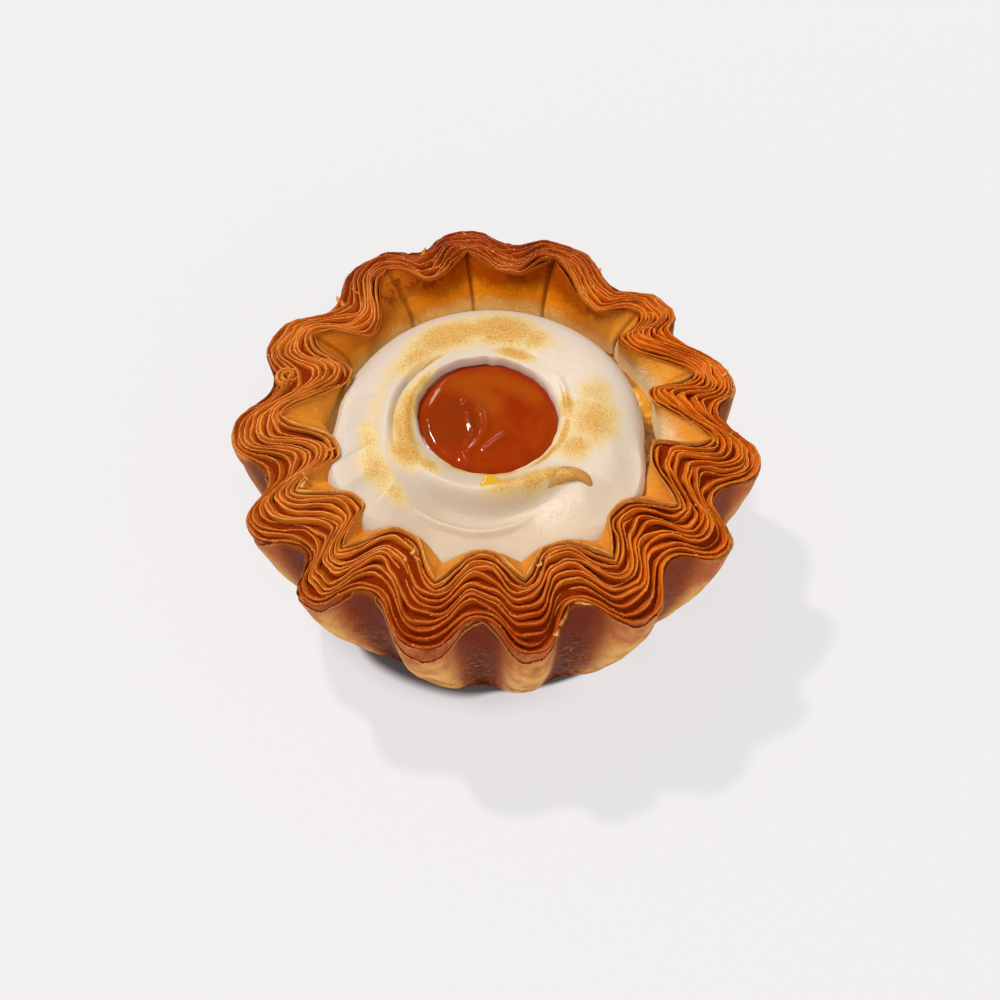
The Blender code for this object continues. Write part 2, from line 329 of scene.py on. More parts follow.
def unevenness(chances, turn):
    # the sum of chance curves, each given as its size, seed and number of knots
    return sum(size * unevenRing(seed, turn, knots) for size, seed, knots in chances)


def unevenSheet(seed, turn, level, knots):
    # the same over a surface whose rows are counted by level
    low = math.floor(level)
    curves = unevenRing(seed + low, turn, knots), unevenRing(seed + low + 1, turn, knots)
    return mix(*curves, smoothStep(level, low, low + 1.0))


def bearingAt(turn):
    return roundTheRing(lobeAndFoldBearings, 2.0 * np.asarray(turn), -360.0)


allTurns = np.linspace(0.0, len(flutes), 4000)
allBearings = bearingAt(allTurns)


def turnAt(bearing):
    # bearings fall from one flute to the next
    start = allBearings[-1]
    wrapped = start + (np.asarray(bearing) - start) % 360.0
    return np.interp(wrapped, allBearings[::-1], allTurns[::-1])


def fluteWave(turn, across, softening=1.4):
    # 1 on a lobe and 0 on a fold: round lobes and sharp folds outside, the reverse inside
    full = turn - crustShape["fluteFullness"] * np.sin(4.0 * np.pi * turn)
    rise = 0.5 + 0.5 * np.cos(2.0 * np.pi * full)
    outside = 1.0 - crustShape["foldSharpness"] * np.abs(2.0 * across - 1.0) ** softening
    crease = roundTheRing(crustShape["creaseSharpness"], turn)
    inside = 1.0 - crease * np.abs(2.0 * across - 1.0) ** 1.4
    return np.where(across > 0.5, rise**outside, 1.0 - (1.0 - rise) ** inside)


def rimRadius(turn, across, softening=1.4):
    lobe = mix(roundTheRing(creaseReach, turn), roundTheRing(lobeReach, turn), across)
    fold = mix(roundTheRing(bulgeReach, turn - 0.5), roundTheRing(foldReach, turn - 0.5), across)
    return mix(fold, lobe, fluteWave(turn, across, softening))


def rimSlope(radius):
    over = np.maximum(0.0, radius - crustShape["rimLevelRadius"])
    return np.arctan(2.0 * crustShape["rimDropPerMm2"] * over)


def rimHeight(turn, radius):
    over = np.maximum(0.0, radius - crustShape["rimLevelRadius"])
    return crustShape["rimTop"] - crustShape["rimDropPerMm2"] * over**2 - roundTheRing(rimSag, turn)


def onTheRim(turn, across, lift, softening=1.4):
    # (radius, height) on the rim, moved by lift along the way its leaves stand
    radius = rimRadius(turn, across, softening)
    height, slope = rimHeight(turn, radius), rimSlope(radius)
    return radius + lift * np.sin(slope), height + lift * np.cos(slope)


def innerWallRadius(turn, height):
    level, floor = crustShape["custardLevel"], crustShape["floorThickness"]
    topRadius, top = onTheRim(turn, 0.0, -crustShape["ridgeHeight"])
    levelRadius = mix(crustShape["wallRadiusAtLevel"], topRadius, crustShape["wallFlutingAtLevel"])
    closing = roundTheRing(crustShape["creaseClosing"], turn)
    above = np.clip((height - level) / (top - level), 0.0, 1.0) ** closing
    below = np.clip((level - height) / (level - floor), 0.0, 1.0)
    high, low = mix(levelRadius, topRadius, above), mix(levelRadius, crustShape["wallRadiusAtFloor"], below)
    return np.where(height >= level, high, low)


def bandWidth(turn):
    return roundTheRing(crustShape["bandWidth"], 2.0 * np.asarray(turn))


def creaseLine(turn):
    # how deep each crease of the inner wall is pinched in
    pinch = hump(np.abs(turn - np.round(turn)), crustShape["creaseLineWidth"])
    return pinch * roundTheRing(crustShape["creaseLineDepth"], turn)


def baseRadius(turn):
    angle = np.radians(bearingAt(turn))
    off = crustShape["baseOffset"][0] * np.cos(angle) + crustShape["baseOffset"][1] * np.sin(angle)
    wave = fluteWave(turn, crustShape["baseFluteShape"])
    return mix(crustShape["baseFoldRadius"], crustShape["baseLobeRadius"], wave) + off


def outerWall(turn, share):
    topRadius, top = onTheRim(turn, 1.0, -crustShape["outerEdgeDrop"])
    bulge = crustShape["wallBulge"] * np.sin(np.pi * share)
    return mix(baseRadius(turn), topRadius, share) + bulge, mix(crustShape["baseEdge"], top, share)


def centringShift():
    turns = np.arange(0.0, len(flutes), 1.0 / 12.0)
    radius, angle = onTheRim(turns, 1.0, 0.0)[0], np.radians(bearingAt(turns))
    x, y = radius * np.cos(angle), radius * np.sin(angle)
    return -0.5 * (x.min() + x.max()), -0.5 * (y.min() + y.max())


shift = centringShift()


def pointsRound(centre, angle, radius, height):
    x, y = centre[0] + radius * np.cos(angle), centre[1] + radius * np.sin(angle)
    return np.stack([x, y, height + 0.0 * x], axis=-1)


def ringPoints(turn, radius, height):
    lean = roundTheRing(crustShape["bulgeLean"], turn - 0.5) * np.sin(np.pi * turn) ** 2
    bearing = bearingAt(turn) + lean * np.clip((46.0 - radius) / 14.0, 0.0, 1.0)
    return pointsRound(shift, np.radians(bearing), radius, height)


# Crust: the leaves of laminated dough, standing on edge round the rim

leafLook = {
    "leaves": 10,
    "groups": {"outerLeaves": (0, 3), "middleLeaves": (3, 6), "innerLeaves": (6, 10)},
    "columnsPerFlute": 60,
    "softening": 3.0,  # how soon the folds of the leaves round off, away from the outer skin
    "outermost": 0.015,  # inside the outer skin, as a share of the rim
    "innermost": 0.06,  # outside the smooth band
    "spacingChange": 0.65,  # how much the spacing of the leaves varies
    "liftChange": 0.38,  # how much their crests rise and fall
    "fineLift": 0.25,
    "lean": 0.2,  # radians, either way
    "sunken": 1.1,  # how far a leaf drops out of sight here and there
    "room": 1.12,
    "leastRoom": 0.45,
    "lastRoom": 0.75,  # of the innermost leaf
    "depth": 1.9,
    "edgeThickness": 0.08,
    "flare": 0.46,
    "waver": 0.65,
    "rippled": 0.3,
    "frayed": 0.14,
    "profilePoints": 13,
    # chance curves round the ring: seed of the first leaf, and number of knots
    "chances": {"spacing": (11, 70), "lift": (200, 84), "fineLift": (300, 230), "lean": (400, 56),
                "sunken": (500, 34)},
}


def leafChance(name, leaf, turn):
    seed, knots = leafLook["chances"][name]
    return unevenRing(seed + leaf, turn, knots)


def leafShares(turn):
    # where each leaf stands across the rim, outermost first; chance widths between them never cross
    outermost = 1.0 - roundTheRing(skinWidth, turn) - leafLook["outermost"]
    change, gaps = leafLook["spacingChange"], leafLook["leaves"] - 1
    widths = [np.exp(change * leafChance("spacing", gap, turn)) for gap in range(gaps)]
    down = np.concatenate([[0.0 * turn], np.cumsum(widths, axis=0)])
    return mix(outermost, bandWidth(turn) + leafLook["innermost"], down / down[-1])


def leafRoom(turn, radius):
    # on the flanks of the flutes the leaves crowd, so that they are smaller there
    run = np.roll(radius, -1) - np.roll(radius, 1)
    apart = 1.0 / leafLook["columnsPerFlute"]
    step = radius * np.radians(bearingAt(turn - apart) - bearingAt(turn + apart))
    return np.clip(step / np.hypot(step, run) * leafLook["room"], leafLook["leastRoom"], 1.0)


def leafPaths(name, chosen, material):
    # closed loops of edges along the crests, with the way each leaf stands
    columns = leafLook["columnsPerFlute"] * len(flutes)
    turn = np.arange(columns) / leafLook["columnsPerFlute"]
    angle = np.radians(bearingAt(turn))
    shares = leafShares(turn)
    points, edges, stands = [], [], []
    attributes = {"leaf": [], "across": [], "room": []}
    for leaf in chosen:
        lift = leafChance("lift", leaf, turn) + leafLook["fineLift"] * leafChance("fineLift", leaf, turn)
        sinking = smoothStep(leafChance("sunken", leaf, turn), 0.55, 0.95)
        lift = leafLook["liftChange"] * lift - leafLook["sunken"] * sinking
        radius, height = onTheRim(turn, shares[leaf], lift, leafLook["softening"])
        slope = rimSlope(radius) + leafLook["lean"] * leafChance("lean", leaf, turn)
        start = len(points) * columns
        edges += [(start + i, start + (i + 1) % columns) for i in range(columns)]
        points.append(ringPoints(turn, radius, height))
        outwards = np.sin(slope)
        stands.append(np.stack([outwards * np.cos(angle), outwards * np.sin(angle), np.cos(slope)], axis=-1))
        room = leafRoom(turn, radius)
        if leaf == leafLook["leaves"] - 1:
            room = room * leafLook["lastRoom"]
        for values, value in zip(attributes.values(), (np.full(columns, float(leaf)), shares[leaf], room)):
            values.append(value)
    attributes = {key: np.concatenate(values) for key, values in attributes.items()}
    return pathPiece(name, np.concatenate(points), edges, material, attributes, np.concatenate(stands))


def pathPiece(name, points, edges, material, attributes, stands):
    path = newPiece(name, points, [], material, attributes, edges)
    stand = path.data.attributes.new("stand", "FLOAT_VECTOR", "POINT")
    stand.data.foreach_set("vector", stands.astype(np.float32).ravel())
    return path


def newTree(name, inputs, output):
    # a geometry node tree with named inputs, given as the kinds of their sockets, and one named output
    tree = bpy.data.node_groups.new(name, "GeometryNodeTree")
    for inputName, kind in inputs.items():
        tree.interface.new_socket(name=inputName, in_out="INPUT", socket_type=kind)
    tree.interface.new_socket(name=output, in_out="OUTPUT", socket_type="NodeSocketGeometry")
    nodes = Nodes(tree)
    return tree, nodes, nodes.add("NodeGroupInput")


def leafTree():
    # sweeps a thin leaf, widening towards its foot, along each path, then frays and wavers it
    sizes = ("Depth", "Edge Thickness", "Flare", "Waver", "Rippled", "Frayed")
    tree, nodes, given = newTree("laminatedLeaves", {
        "Paths": "NodeSocketGeometry", **dict.fromkeys(sizes, "NodeSocketFloat"),
        "Profile Points": "NodeSocketInt", "Material": "NodeSocketMaterial"}, "Leaves")
    depth, edge, flare = (given.also(name) for name in sizes[:3])
    points = given.also("Profile Points")

    # the profile: half widths that round off at the crest and spread to the foot
    line = nodes.add("GeometryNodeMeshLine", {"mode": "OFFSET"}, {"Count": points})
    side = nodes.add("GeometryNodeInputIndex") * 2.0 / (points - 1.0) - 1.0
    down = depth * side * side
    swell = nodes.maths("POWER", down / mm, 0.9) * mm
    halfWidth = (1.0 - nodes.maths("EXPONENT", down / (-0.07 * mm))) * edge + flare * swell
    across = nodes.maths("SIGN", side) * halfWidth
    place = nodes.add("ShaderNodeCombineXYZ", {}, {"X": down * -1.0, "Y": across})
    profile = nodes.add("GeometryNodeSetPosition", {}, {"Geometry": line, "Position": place})
    settings = {"data_type": "FLOAT", "domain": "POINT"}
    profile = nodes.add("GeometryNodeStoreNamedAttribute", settings, {
        "Geometry": profile, "Name": "down", "Value": down / mm})
    profile = nodes.add("GeometryNodeMeshToCurve", {}, {"Mesh": profile})
    profile = nodes.add("GeometryNodeSetSplineCyclic", {}, {"Geometry": profile, "Cyclic": True})

    # the sweep
    paths = nodes.add("GeometryNodeMeshToCurve", {}, {"Mesh": given})
    paths = nodes.add("GeometryNodeSetCurveNormal", {"mode": "FREE"}, {
        "Curve": paths, "Normal": nodes.named("stand", "FLOAT_VECTOR")})
    swept = nodes.add("GeometryNodeCurveToMesh", {}, {
        "Curve": paths, "Profile Curve": profile, "Scale": nodes.named("room"), "Fill Caps": True})

    # waver: neighbouring leaves move nearly together, so that they crowd and part but don't cross
    here = nodes.vectors("SCALE", nodes.add("GeometryNodeInputPosition"), scale=1.0 / mm)
    leaf = nodes.named("leaf")
    moved = nodes.add("GeometryNodeInputPosition")
    for size, leafStep, amount in ((4.5, 0.35, "Waver"), (1.9, 1.1, "Rippled"), (0.9, 3.1, "Frayed")):
        inputs = {"Vector": here, "W": leaf * leafStep, "Scale": 1.0 / size, "Detail": 1.0}
        chance = nodes.add("ShaderNodeTexNoise", {"noise_dimensions": "4D"}, inputs).also("Color")
        centred = nodes.vectors("SUBTRACT", chance, (0.5, 0.5, 0.5))
        moved = nodes.vectors("ADD", moved, nodes.vectors("SCALE", centred, scale=given.also(amount)))
    swept = nodes.add("GeometryNodeSetPosition", {}, {"Geometry": swept, "Position": moved})
    swept = nodes.add("GeometryNodeSetShadeSmooth", {}, {"Geometry": swept})
    swept = nodes.add("GeometryNodeRealizeInstances", {}, {"Geometry": swept})
    swept = nodes.add("GeometryNodeSetMaterial", {}, {"Geometry": swept, "Material": given.also("Material")})
    nodes.add("NodeGroupOutput", {}, {"Leaves": swept})
    return tree


def runTree(piece, tree, values):
    # the tree's result as a plain mesh
    modifier = piece.modifiers.new("shape", "NODES")
    modifier.node_group = tree
    sockets = [item for item in tree.interface.items_tree if item.in_out == "INPUT"]
    identifiers = {socket.name: socket.identifier for socket in sockets}
    for name, value in values.items():
        modifier[identifiers[name]] = value
    evaluated = piece.evaluated_get(bpy.context.evaluated_depsgraph_get())
    mesh = bpy.data.meshes.new_from_object(evaluated)
    piece.modifiers.remove(modifier)
    piece.data = mesh
    mesh.name = piece.name


def sweepLeaves(path, tree, material):
    look = leafLook
    runTree(path, tree, {
        "Depth": look["depth"] * mm, "Edge Thickness": look["edgeThickness"] * mm, "Flare": look["flare"],
        "Waver": look["waver"] * mm, "Rippled": look["rippled"] * mm, "Frayed": look["frayed"] * mm,
        "Profile Points": look["profilePoints"], "Material": material})
    turnOutwards(path)
    dress(path, "crust", "baked_crust")
    return path


def makeLeaves(tree, material):
    made = []
    for name, (first, end) in leafLook["groups"].items():
        made.append(sweepLeaves(leafPaths(name, range(first, end), material), tree, material))
    return made


# the end of a leaf that has rolled up
leafCurl = {
    "bearing": 167.2,
    "radius": 42.0,
    "overCrests": 0.2,
    "size": 2.7,
    "innerSize": 0.2,  # as a share of the size
    "flattened": 0.8,
    "turns": 2.1,
    "start": 250.0,
    "sag": 0.5,
    "samples": 44,
    "leaf": 20.0,  # sets its own pattern and waver
    "across": 0.1,
    "room": 0.8,
}


def makeCurl(tree, material):
    curl, samples = leafCurl, leafCurl["samples"]
    turn = turnAt(curl["bearing"])
    middle = ringPoints(turn, curl["radius"], rimHeight(turn, curl["radius"]) + curl["overCrests"])
    share = np.linspace(0.0, 1.0, samples)
    reach = curl["size"] * mix(curl["innerSize"], 1.0, share)
    angle = np.radians(curl["start"] + 360.0 * curl["turns"] * share)
    off = [reach * np.cos(angle), reach * np.sin(angle) * curl["flattened"], -curl["sag"] * share]
    attributes = {name: np.full(samples, curl[name]) for name in ("leaf", "across", "room")}
    edges = [(i, i + 1) for i in range(samples - 1)]
    upright = np.tile((0.0, 0.0, 1.0), (samples, 1))
    path = pathPiece("leafCurls", middle + np.stack(off, axis=-1), edges, material, attributes, upright)
    sweepLeaves(path, tree, material)


# broken flakes: bearing, radius, height over the crests, length, width, heading and how far the end rises
flakes = (
    (108.7, 45.2, -0.6, 2.6, 1.6, 75.0, 0.7), (136.4, 42.9, -0.5, 3.4, 1.9, 128.0, 0.4),
    (131.0, 42.6, -0.6, 2.6, 0.8, -50.0, 0.2),
    (-115.3, 36.6, 0.3, 1.8, 1.0, 60.0, 0.5), (-113.5, 37.6, 0.2, 1.5, 1.1, 150.0, 0.3),
    (-116.5, 38.4, 0.2, 1.6, 0.9, 100.0, 0.2), (-164.2, 33.0, -0.1, 2.4, 1.2, 15.0, 0.2),
    (-158.0, 39.6, 0.1, 2.6, 1.0, 120.0, 0.5), (-156.0, 40.6, 0.1, 1.9, 1.2, 60.0, 0.3),
    (-77.0, 36.8, -0.2, 1.5, 1.0, 30.0, 0.3),
    # the ragged skin at the fold in front on the right
    (-74.1, 46.7, -0.7, 5.0, 1.8, 64.0, 1.1), (-76.3, 48.6, -0.5, 3.2, 1.5, 78.0, 0.5),
    (-68.8, 45.8, 0.0, 4.2, 1.0, -10.0, 0.1),
    (17.0, 47.6, 0.0, 2.2, 1.0, 40.0, 0.6), (-28.0, 43.4, -0.3, 1.6, 0.8, 80.0, 0.2),
    (97.0, 50.6, -0.3, 2.0, 0.9, 150.0, 0.7), (62.0, 44.0, 0.0, 1.6, 0.8, 200.0, 0.4),
)
flakeLook = {
    "sections": 8,
    "corners": ((-1.0, 0.0), (0.0, 0.35), (1.0, 0.0), (0.0, -0.6)),  # of a section, across and up
    "halfWidth": 0.4,  # as a share of the width
    "leastHalf": 0.04,
    "tapering": 2.2,
    "length": 0.85,  # as a share of the one given
    "thickness": (0.07, 0.12),  # and how it grows with the half width
    "waist": (0.75, 1.1),  # how much narrower or wider it may be at a section
    "sway": 0.12,
    "seed": 21,
}


def makeFlakes(material):
    look, sections, corners = flakeLook, flakeLook["sections"], flakeLook["corners"]
    chance = np.random.default_rng(look["seed"])
    up = np.array((0.0, 0.0, 1.0))
    points, faces = [], []
    for bearing, radius, over, length, width, heading, rise in flakes:
        turn, start = turnAt(bearing), len(points)
        middle = ringPoints(turn, radius, rimHeight(turn, radius) + over)
        way = np.array((math.cos(math.radians(heading)), math.sin(math.radians(heading)), 0.0))
        side = np.array((-way[1], way[0], 0.0))
        for step in range(sections):
            share = step / (sections - 1)
            half = look["halfWidth"] * width * (1.0 - share ** look["tapering"])
            half = half * chance.uniform(*look["waist"]) + look["leastHalf"]
            line = middle + way * length * look["length"] * (share - 0.5) + up * rise * share**2
            line = line + side * chance.uniform(-look["sway"], look["sway"])
            thick = look["thickness"][0] + look["thickness"][1] * half
            points += [line + side * half * across + up * high * thick for across, high in corners]
        last = len(points) - len(corners)
        faces += [[start + i for i in face] for face in ringFaces(sections, len(corners))]
        faces += [[start + 3, start + 2, start + 1, start], [last, last + 1, last + 2, last + 3]]
    makePiece("brokenFlakes", points, faces, material, "crust", "baked_crust")


# Crust: crumbs that cling to the crests of the leaves

crumbLook = {
    "perSquareMm": 1.8,
    "highest": 0.3,  # how far down from the crests they lie
    "smallest": 0.07,
    "largest": 0.2,
    "turned": 6.28,  # radians, at most
    "gathering": (4.0, 1.6, 5.0),  # size in millimetres, gain and power of where they gather
    "seed": 5,
    "turningSeed": 77,
}


def crumbTree():
    # scatters crumbs over the upper edges of the leaves, gathered in places
    tree, nodes, given = newTree("clingingCrumbs", {
        "Leaves": "NodeSocketGeometry",
        **dict.fromkeys(("Density", "Highest", "Smallest", "Largest"), "NodeSocketFloat"),
        "Seed": "NodeSocketInt", "Material": "NodeSocketMaterial"}, "Crumbs")
    size, gain, power = crumbLook["gathering"]
    onCrest = nodes.maths("LESS_THAN", nodes.named("down"), given.also("Highest"))
    here = nodes.vectors("SCALE", nodes.add("GeometryNodeInputPosition"), scale=1.0 / mm)
    gathered = nodes.maths("POWER", nodes.noise(here, size) * gain, power)
    seed = given.also("Seed")
    spread = nodes.add("GeometryNodeDistributePointsOnFaces", {}, {
        "Mesh": given, "Density": given.also("Density") * onCrest * gathered, "Seed": seed})
    crumb = nodes.add("GeometryNodeMeshIcoSphere", {}, {"Radius": 1.0, "Subdivisions": 1})
    least, most = (nodes.add("ShaderNodeCombineXYZ", {}, dict.fromkeys("XYZ", given.also(name)))
                   for name in ("Smallest", "Largest"))
    settings = {"data_type": "FLOAT_VECTOR"}
    sizes = nodes.add("FunctionNodeRandomValue", settings, {"Min": least, "Max": most, "Seed": seed})
    turned = nodes.add("FunctionNodeRandomValue", settings, {
        "Max": (crumbLook["turned"],) * 3, "Seed": crumbLook["turningSeed"]})
    placed = nodes.add("GeometryNodeInstanceOnPoints", {}, {
        "Points": spread, "Instance": crumb, "Scale": sizes, "Rotation": turned})
    placed = nodes.add("GeometryNodeRealizeInstances", {}, {"Geometry": placed})
    placed = nodes.add("GeometryNodeSetMaterial", {}, {
        "Geometry": placed, "Material": given.also("Material")})
    nodes.add("NodeGroupOutput", {}, {"Crumbs": placed})
    return tree


def makeCrumbs(leaves, material):
    tree = crumbTree()
    for piece in leaves:
        crumbs = newPiece(piece.name.replace("Leaves", "Crumbs"), [], [], material)
        crumbs.data = piece.data.copy()
        runTree(crumbs, tree, {
            "Density": crumbLook["perSquareMm"] / mm**2, "Highest": crumbLook["highest"],
            "Smallest": crumbLook["smallest"] * mm, "Largest": crumbLook["largest"] * mm,
            "Seed": crumbLook["seed"], "Material": material})
        dress(crumbs, "crust", "baked_crust")


# Crust: the body under the leaves

bodyLook = {
    "columnsPerFlute": 56,
    "underRows": (0.3, 0.6, 0.85),  # under the base, as shares of the way to its edge
    "edgeRows": 5,  # round the base's edge
    "wallRows": 50,
    "wallSpacing": 1.6,  # how much closer the rows get towards the rim
    # where the outer skin has torn away under the rim: bearing, half width in degrees, depth
    "torn": ((-106.0, 14.0, 6.2), (-84.0, 9.0, 3.8), (-156.5, 9.0, 4.2), (-131.0, 7.0, 2.0),
             (-58.0, 5.0, 1.5)),
    "tornStep": 0.5,
    "leastTorn": 0.1,
    # the edge of the outer skin: share across it, and lift
    "skinRows": ((0.1, -0.35), (0.35, -0.25), (0.7, -0.35), (0.85, -0.6), (1.0, -1.2)),
    "bedRows": 10,
    "bedDepth": 1.25,  # of the bed under the crests
    "bedInset": (0.01, 0.012),  # from the skin and from the smooth band, as shares of the rim
    # the smooth band inside the leaves: share across it, lift, and depth for its colour
    "innerBand": ((1.0, -0.9, 0.0), (0.9, -0.45, 0.0), (0.75, -0.2, 0.0), (0.5, -0.05, 0.0),
                  (0.25, 0.0, 0.0), (0.1, 0.0, 0.1), (0.03, -0.05, 0.2), (0.0, -0.2, 0.4)),
    "innerRows": 26,
    "innerSpacing": 1.2,  # how much closer the rows get towards the rim
    "lowestInner": 26.0,  # the body is closed there, under the custard
    "lowestRows": (0.6, 0.25),  # as shares of the way to the inner wall
    "lowestDepth": 16.0,
    "pinchedCreases": (0.0, 0.0, 0.0, 0.0, 0.0, 0.0, 0.0, 0.0, 0.0, 0.1, 0.45, 0.25, 0.1, 0.0),
    "pinchWidth": 0.07,  # in turns
    "pinchRipples": 200.0,
    # chance curves: size, seed and number of knots, and for the wall also the levels up it
    "tornChances": ((0.35, 65, 260),),
    "edgeChances": ((0.4, 60, 150), (0.28, 61, 380)),
    "skinChances": ((0.012, 62, 300), (0.012, 63, 90)),
    "bandChances": ((0.14, 64, 170),),
    "wallChances": ((0.22, 70, 84, 7.0), (0.1, 90, 230, 16.0)),
    # what the finish is told, as its usual value, at the base's middle and at the inner middle
    "told": {"wallShare": (0.0, 0.0, 1.0), "innerDepth": (0.0, 0.0, 16.0), "bed": (0.0, 0.0, 0.0),
             "inner": (0.0, 0.0, 1.0), "torn": (-1.0, 0.0, 0.0)},
}


def tornDepth(turn):
    # how far below the rim the skin's ragged edge lies
    bearing, depth = bearingAt(turn), 0.0 * turn
    for middle, halfWidth, most in bodyLook["torn"]:
        off = np.abs((bearing - middle + 180.0) % 360.0 - 180.0) / halfWidth
        depth = np.maximum(depth, most * np.clip(1.0 - off, 0.0, 1.0) ** 1.25)
    return depth + unevenness(bodyLook["tornChances"], turn) * smoothStep(depth, 0.0, 0.5)


def makeBody(material):
    look = bodyLook
    turn = np.arange(look["columnsPerFlute"] * len(flutes)) / look["columnsPerFlute"]
    rows, told = [], {name: [] for name in look["told"]}

    def addRow(radius, height, **given):
        rows.append(ringPoints(turn, radius, height))
        for name, (usual, *_) in look["told"].items():
            told[name].append(given.get(name, usual) + 0.0 * turn)

    # under the base, round its edge and up the outer wall
    foot, edge = baseRadius(turn), crustShape["baseEdge"]
    for share in look["underRows"]:
        addRow((foot - edge) * share, 0.0 * turn)
    for angle in np.linspace(0.0, 0.5 * np.pi, look["edgeRows"]):
        addRow(foot - edge + edge * np.sin(angle), edge * (1.0 - np.cos(angle)) + 0.0 * turn)
    tornEdge, uneven = tornDepth(turn), unevenness(look["edgeChances"], turn)
    isTorn = tornEdge > look["leastTorn"]
    for step in range(1, look["wallRows"]):
        share = 1.0 - (1.0 - step / (look["wallRows"] - 1)) ** look["wallSpacing"]
        radius, height = outerWall(turn, share)
        inTorn = tornEdge - outerWall(turn, 1.0)[1] + height
        rough = sum(size * unevenSheet(seed, turn, levels * share, knots)
                    for size, seed, knots, levels in look["wallChances"])
        radius = radius + rough - look["tornStep"] * smoothStep(inTorn, -0.12, 0.16) * isTorn
        height = height + smoothStep(share, 0.8, 1.0) * uneven
        addRow(radius, height, wallShare=share, torn=np.where(isTorn, inTorn, -1.0))

    # over the outer skin's edge, across the bed and up to the inner edge
    skin, band = roundTheRing(skinWidth, turn), bandWidth(turn)
    ragged = unevenness(look["skinChances"], turn)
    for part, lift in look["skinRows"]:
        radius, height = onTheRim(turn, 1.0 - part * (skin + ragged), lift)
        tearing = smoothStep(tornEdge, look["leastTorn"], 0.5)
        radius = radius - look["tornStep"] * tearing * (1.0 - part)
        height = height + uneven * (1.0 - part)
        onBed = smoothStep(part, 0.75, 1.0)
        addRow(radius, height, wallShare=1.0, bed=onBed, torn=np.where(isTorn, tornEdge, -1.0))
    fromSkin, fromBand = look["bedInset"]
    for across in np.linspace(1.0 - skin - fromSkin, band + fromBand, look["bedRows"]):
        addRow(*onTheRim(turn, across, -look["bedDepth"]), wallShare=1.0, bed=1.0)
    offCrease = turn - np.round(turn)
    pinched = hump(offCrease, look["pinchWidth"]) * np.cos(offCrease * look["pinchRipples"])
    pinched = roundTheRing(look["pinchedCreases"], turn) * pinched + unevenness(look["bandChances"], turn)
    for part, lift, depth in look["innerBand"]:
        lift = lift + pinched * math.sin(math.pi * min(part, 0.9))
        addRow(*onTheRim(turn, part * band, lift), wallShare=1.0, innerDepth=depth, inner=1.0)

    # down the inner wall
    top = onTheRim(turn, 0.0, -crustShape["ridgeHeight"])[1]
    for step in range(look["innerRows"]):
        share = (step / (look["innerRows"] - 1)) ** look["innerSpacing"]
        height = mix(top, look["lowestInner"], share)
        radius = innerWallRadius(turn, height) + creaseLine(turn)
        addRow(radius, height, wallShare=1.0, innerDepth=top + 1.0 - height, inner=1.0)
    for share in look["lowestRows"]:
        radius = innerWallRadius(turn, height) * share
        addRow(radius, height, wallShare=1.0, innerDepth=look["lowestDepth"], inner=1.0)

    poles = ringPoints(0.0, 0.0, 0.0), ringPoints(0.0, 0.0, look["lowestInner"])
    attributes = {name: np.append(np.concatenate(told[name]), atPoles)
                  for name, (_, *atPoles) in look["told"].items()}
    lobes = np.tile(fluteWave(turn, crustShape["baseFluteShape"]), len(rows))
    attributes["lobe"] = np.append(lobes, (0.5, 0.5))
    makePiece("crustBody", *cappedRings(rows, *poles), material, "crust", "baked_crust", attributes)


# Custard

custardLook = {
    "columnsPerFlute": 24,
    "foot": 20.0,
    "footShare": 0.97,
    # rings on its surface: share of the way to the crust, and how much of the unevenness shows
    "rings": ((1.0, 0.4), (0.97, 1.0), (0.93, 1.0), (0.85, 0.0), (0.6, 0.0), (0.3, 0.0)),
    "intoCrust": 0.25,
    "risen": (20.0, 6.0, 1.4),  # bearing, width in degrees and height
    "chances": ((0.5, 5, 110),),
    "middleDrop": 0.25,
}


def makeCustard(material):
    look, level = custardLook, crustShape["custardLevel"]
    turn = np.arange(look["columnsPerFlute"] * len(flutes)) / look["columnsPerFlute"]
    footRadius = innerWallRadius(turn, look["foot"] + 0.0 * turn) * look["footShare"]
    rings = [ringPoints(turn, footRadius, look["foot"])]
    bearing, width, height = look["risen"]
    uneven = height * hump(bearingAt(turn) - bearing, width) + unevenness(look["chances"], turn)
    for share, shown in look["rings"]:
        radius = (innerWallRadius(turn, level + 0.0 * turn) + look["intoCrust"]) * share
        rings.append(ringPoints(turn, radius, level + uneven * shown))
    poles = ringPoints(0.0, 0.0, look["foot"]), ringPoints(0.0, 0.0, level - look["middleDrop"])
    makePiece("custardFilling", *cappedRings(rings, *poles), material, "custard", "egg_custard")


# Meringue: a piped ring that the torch has caught in patches

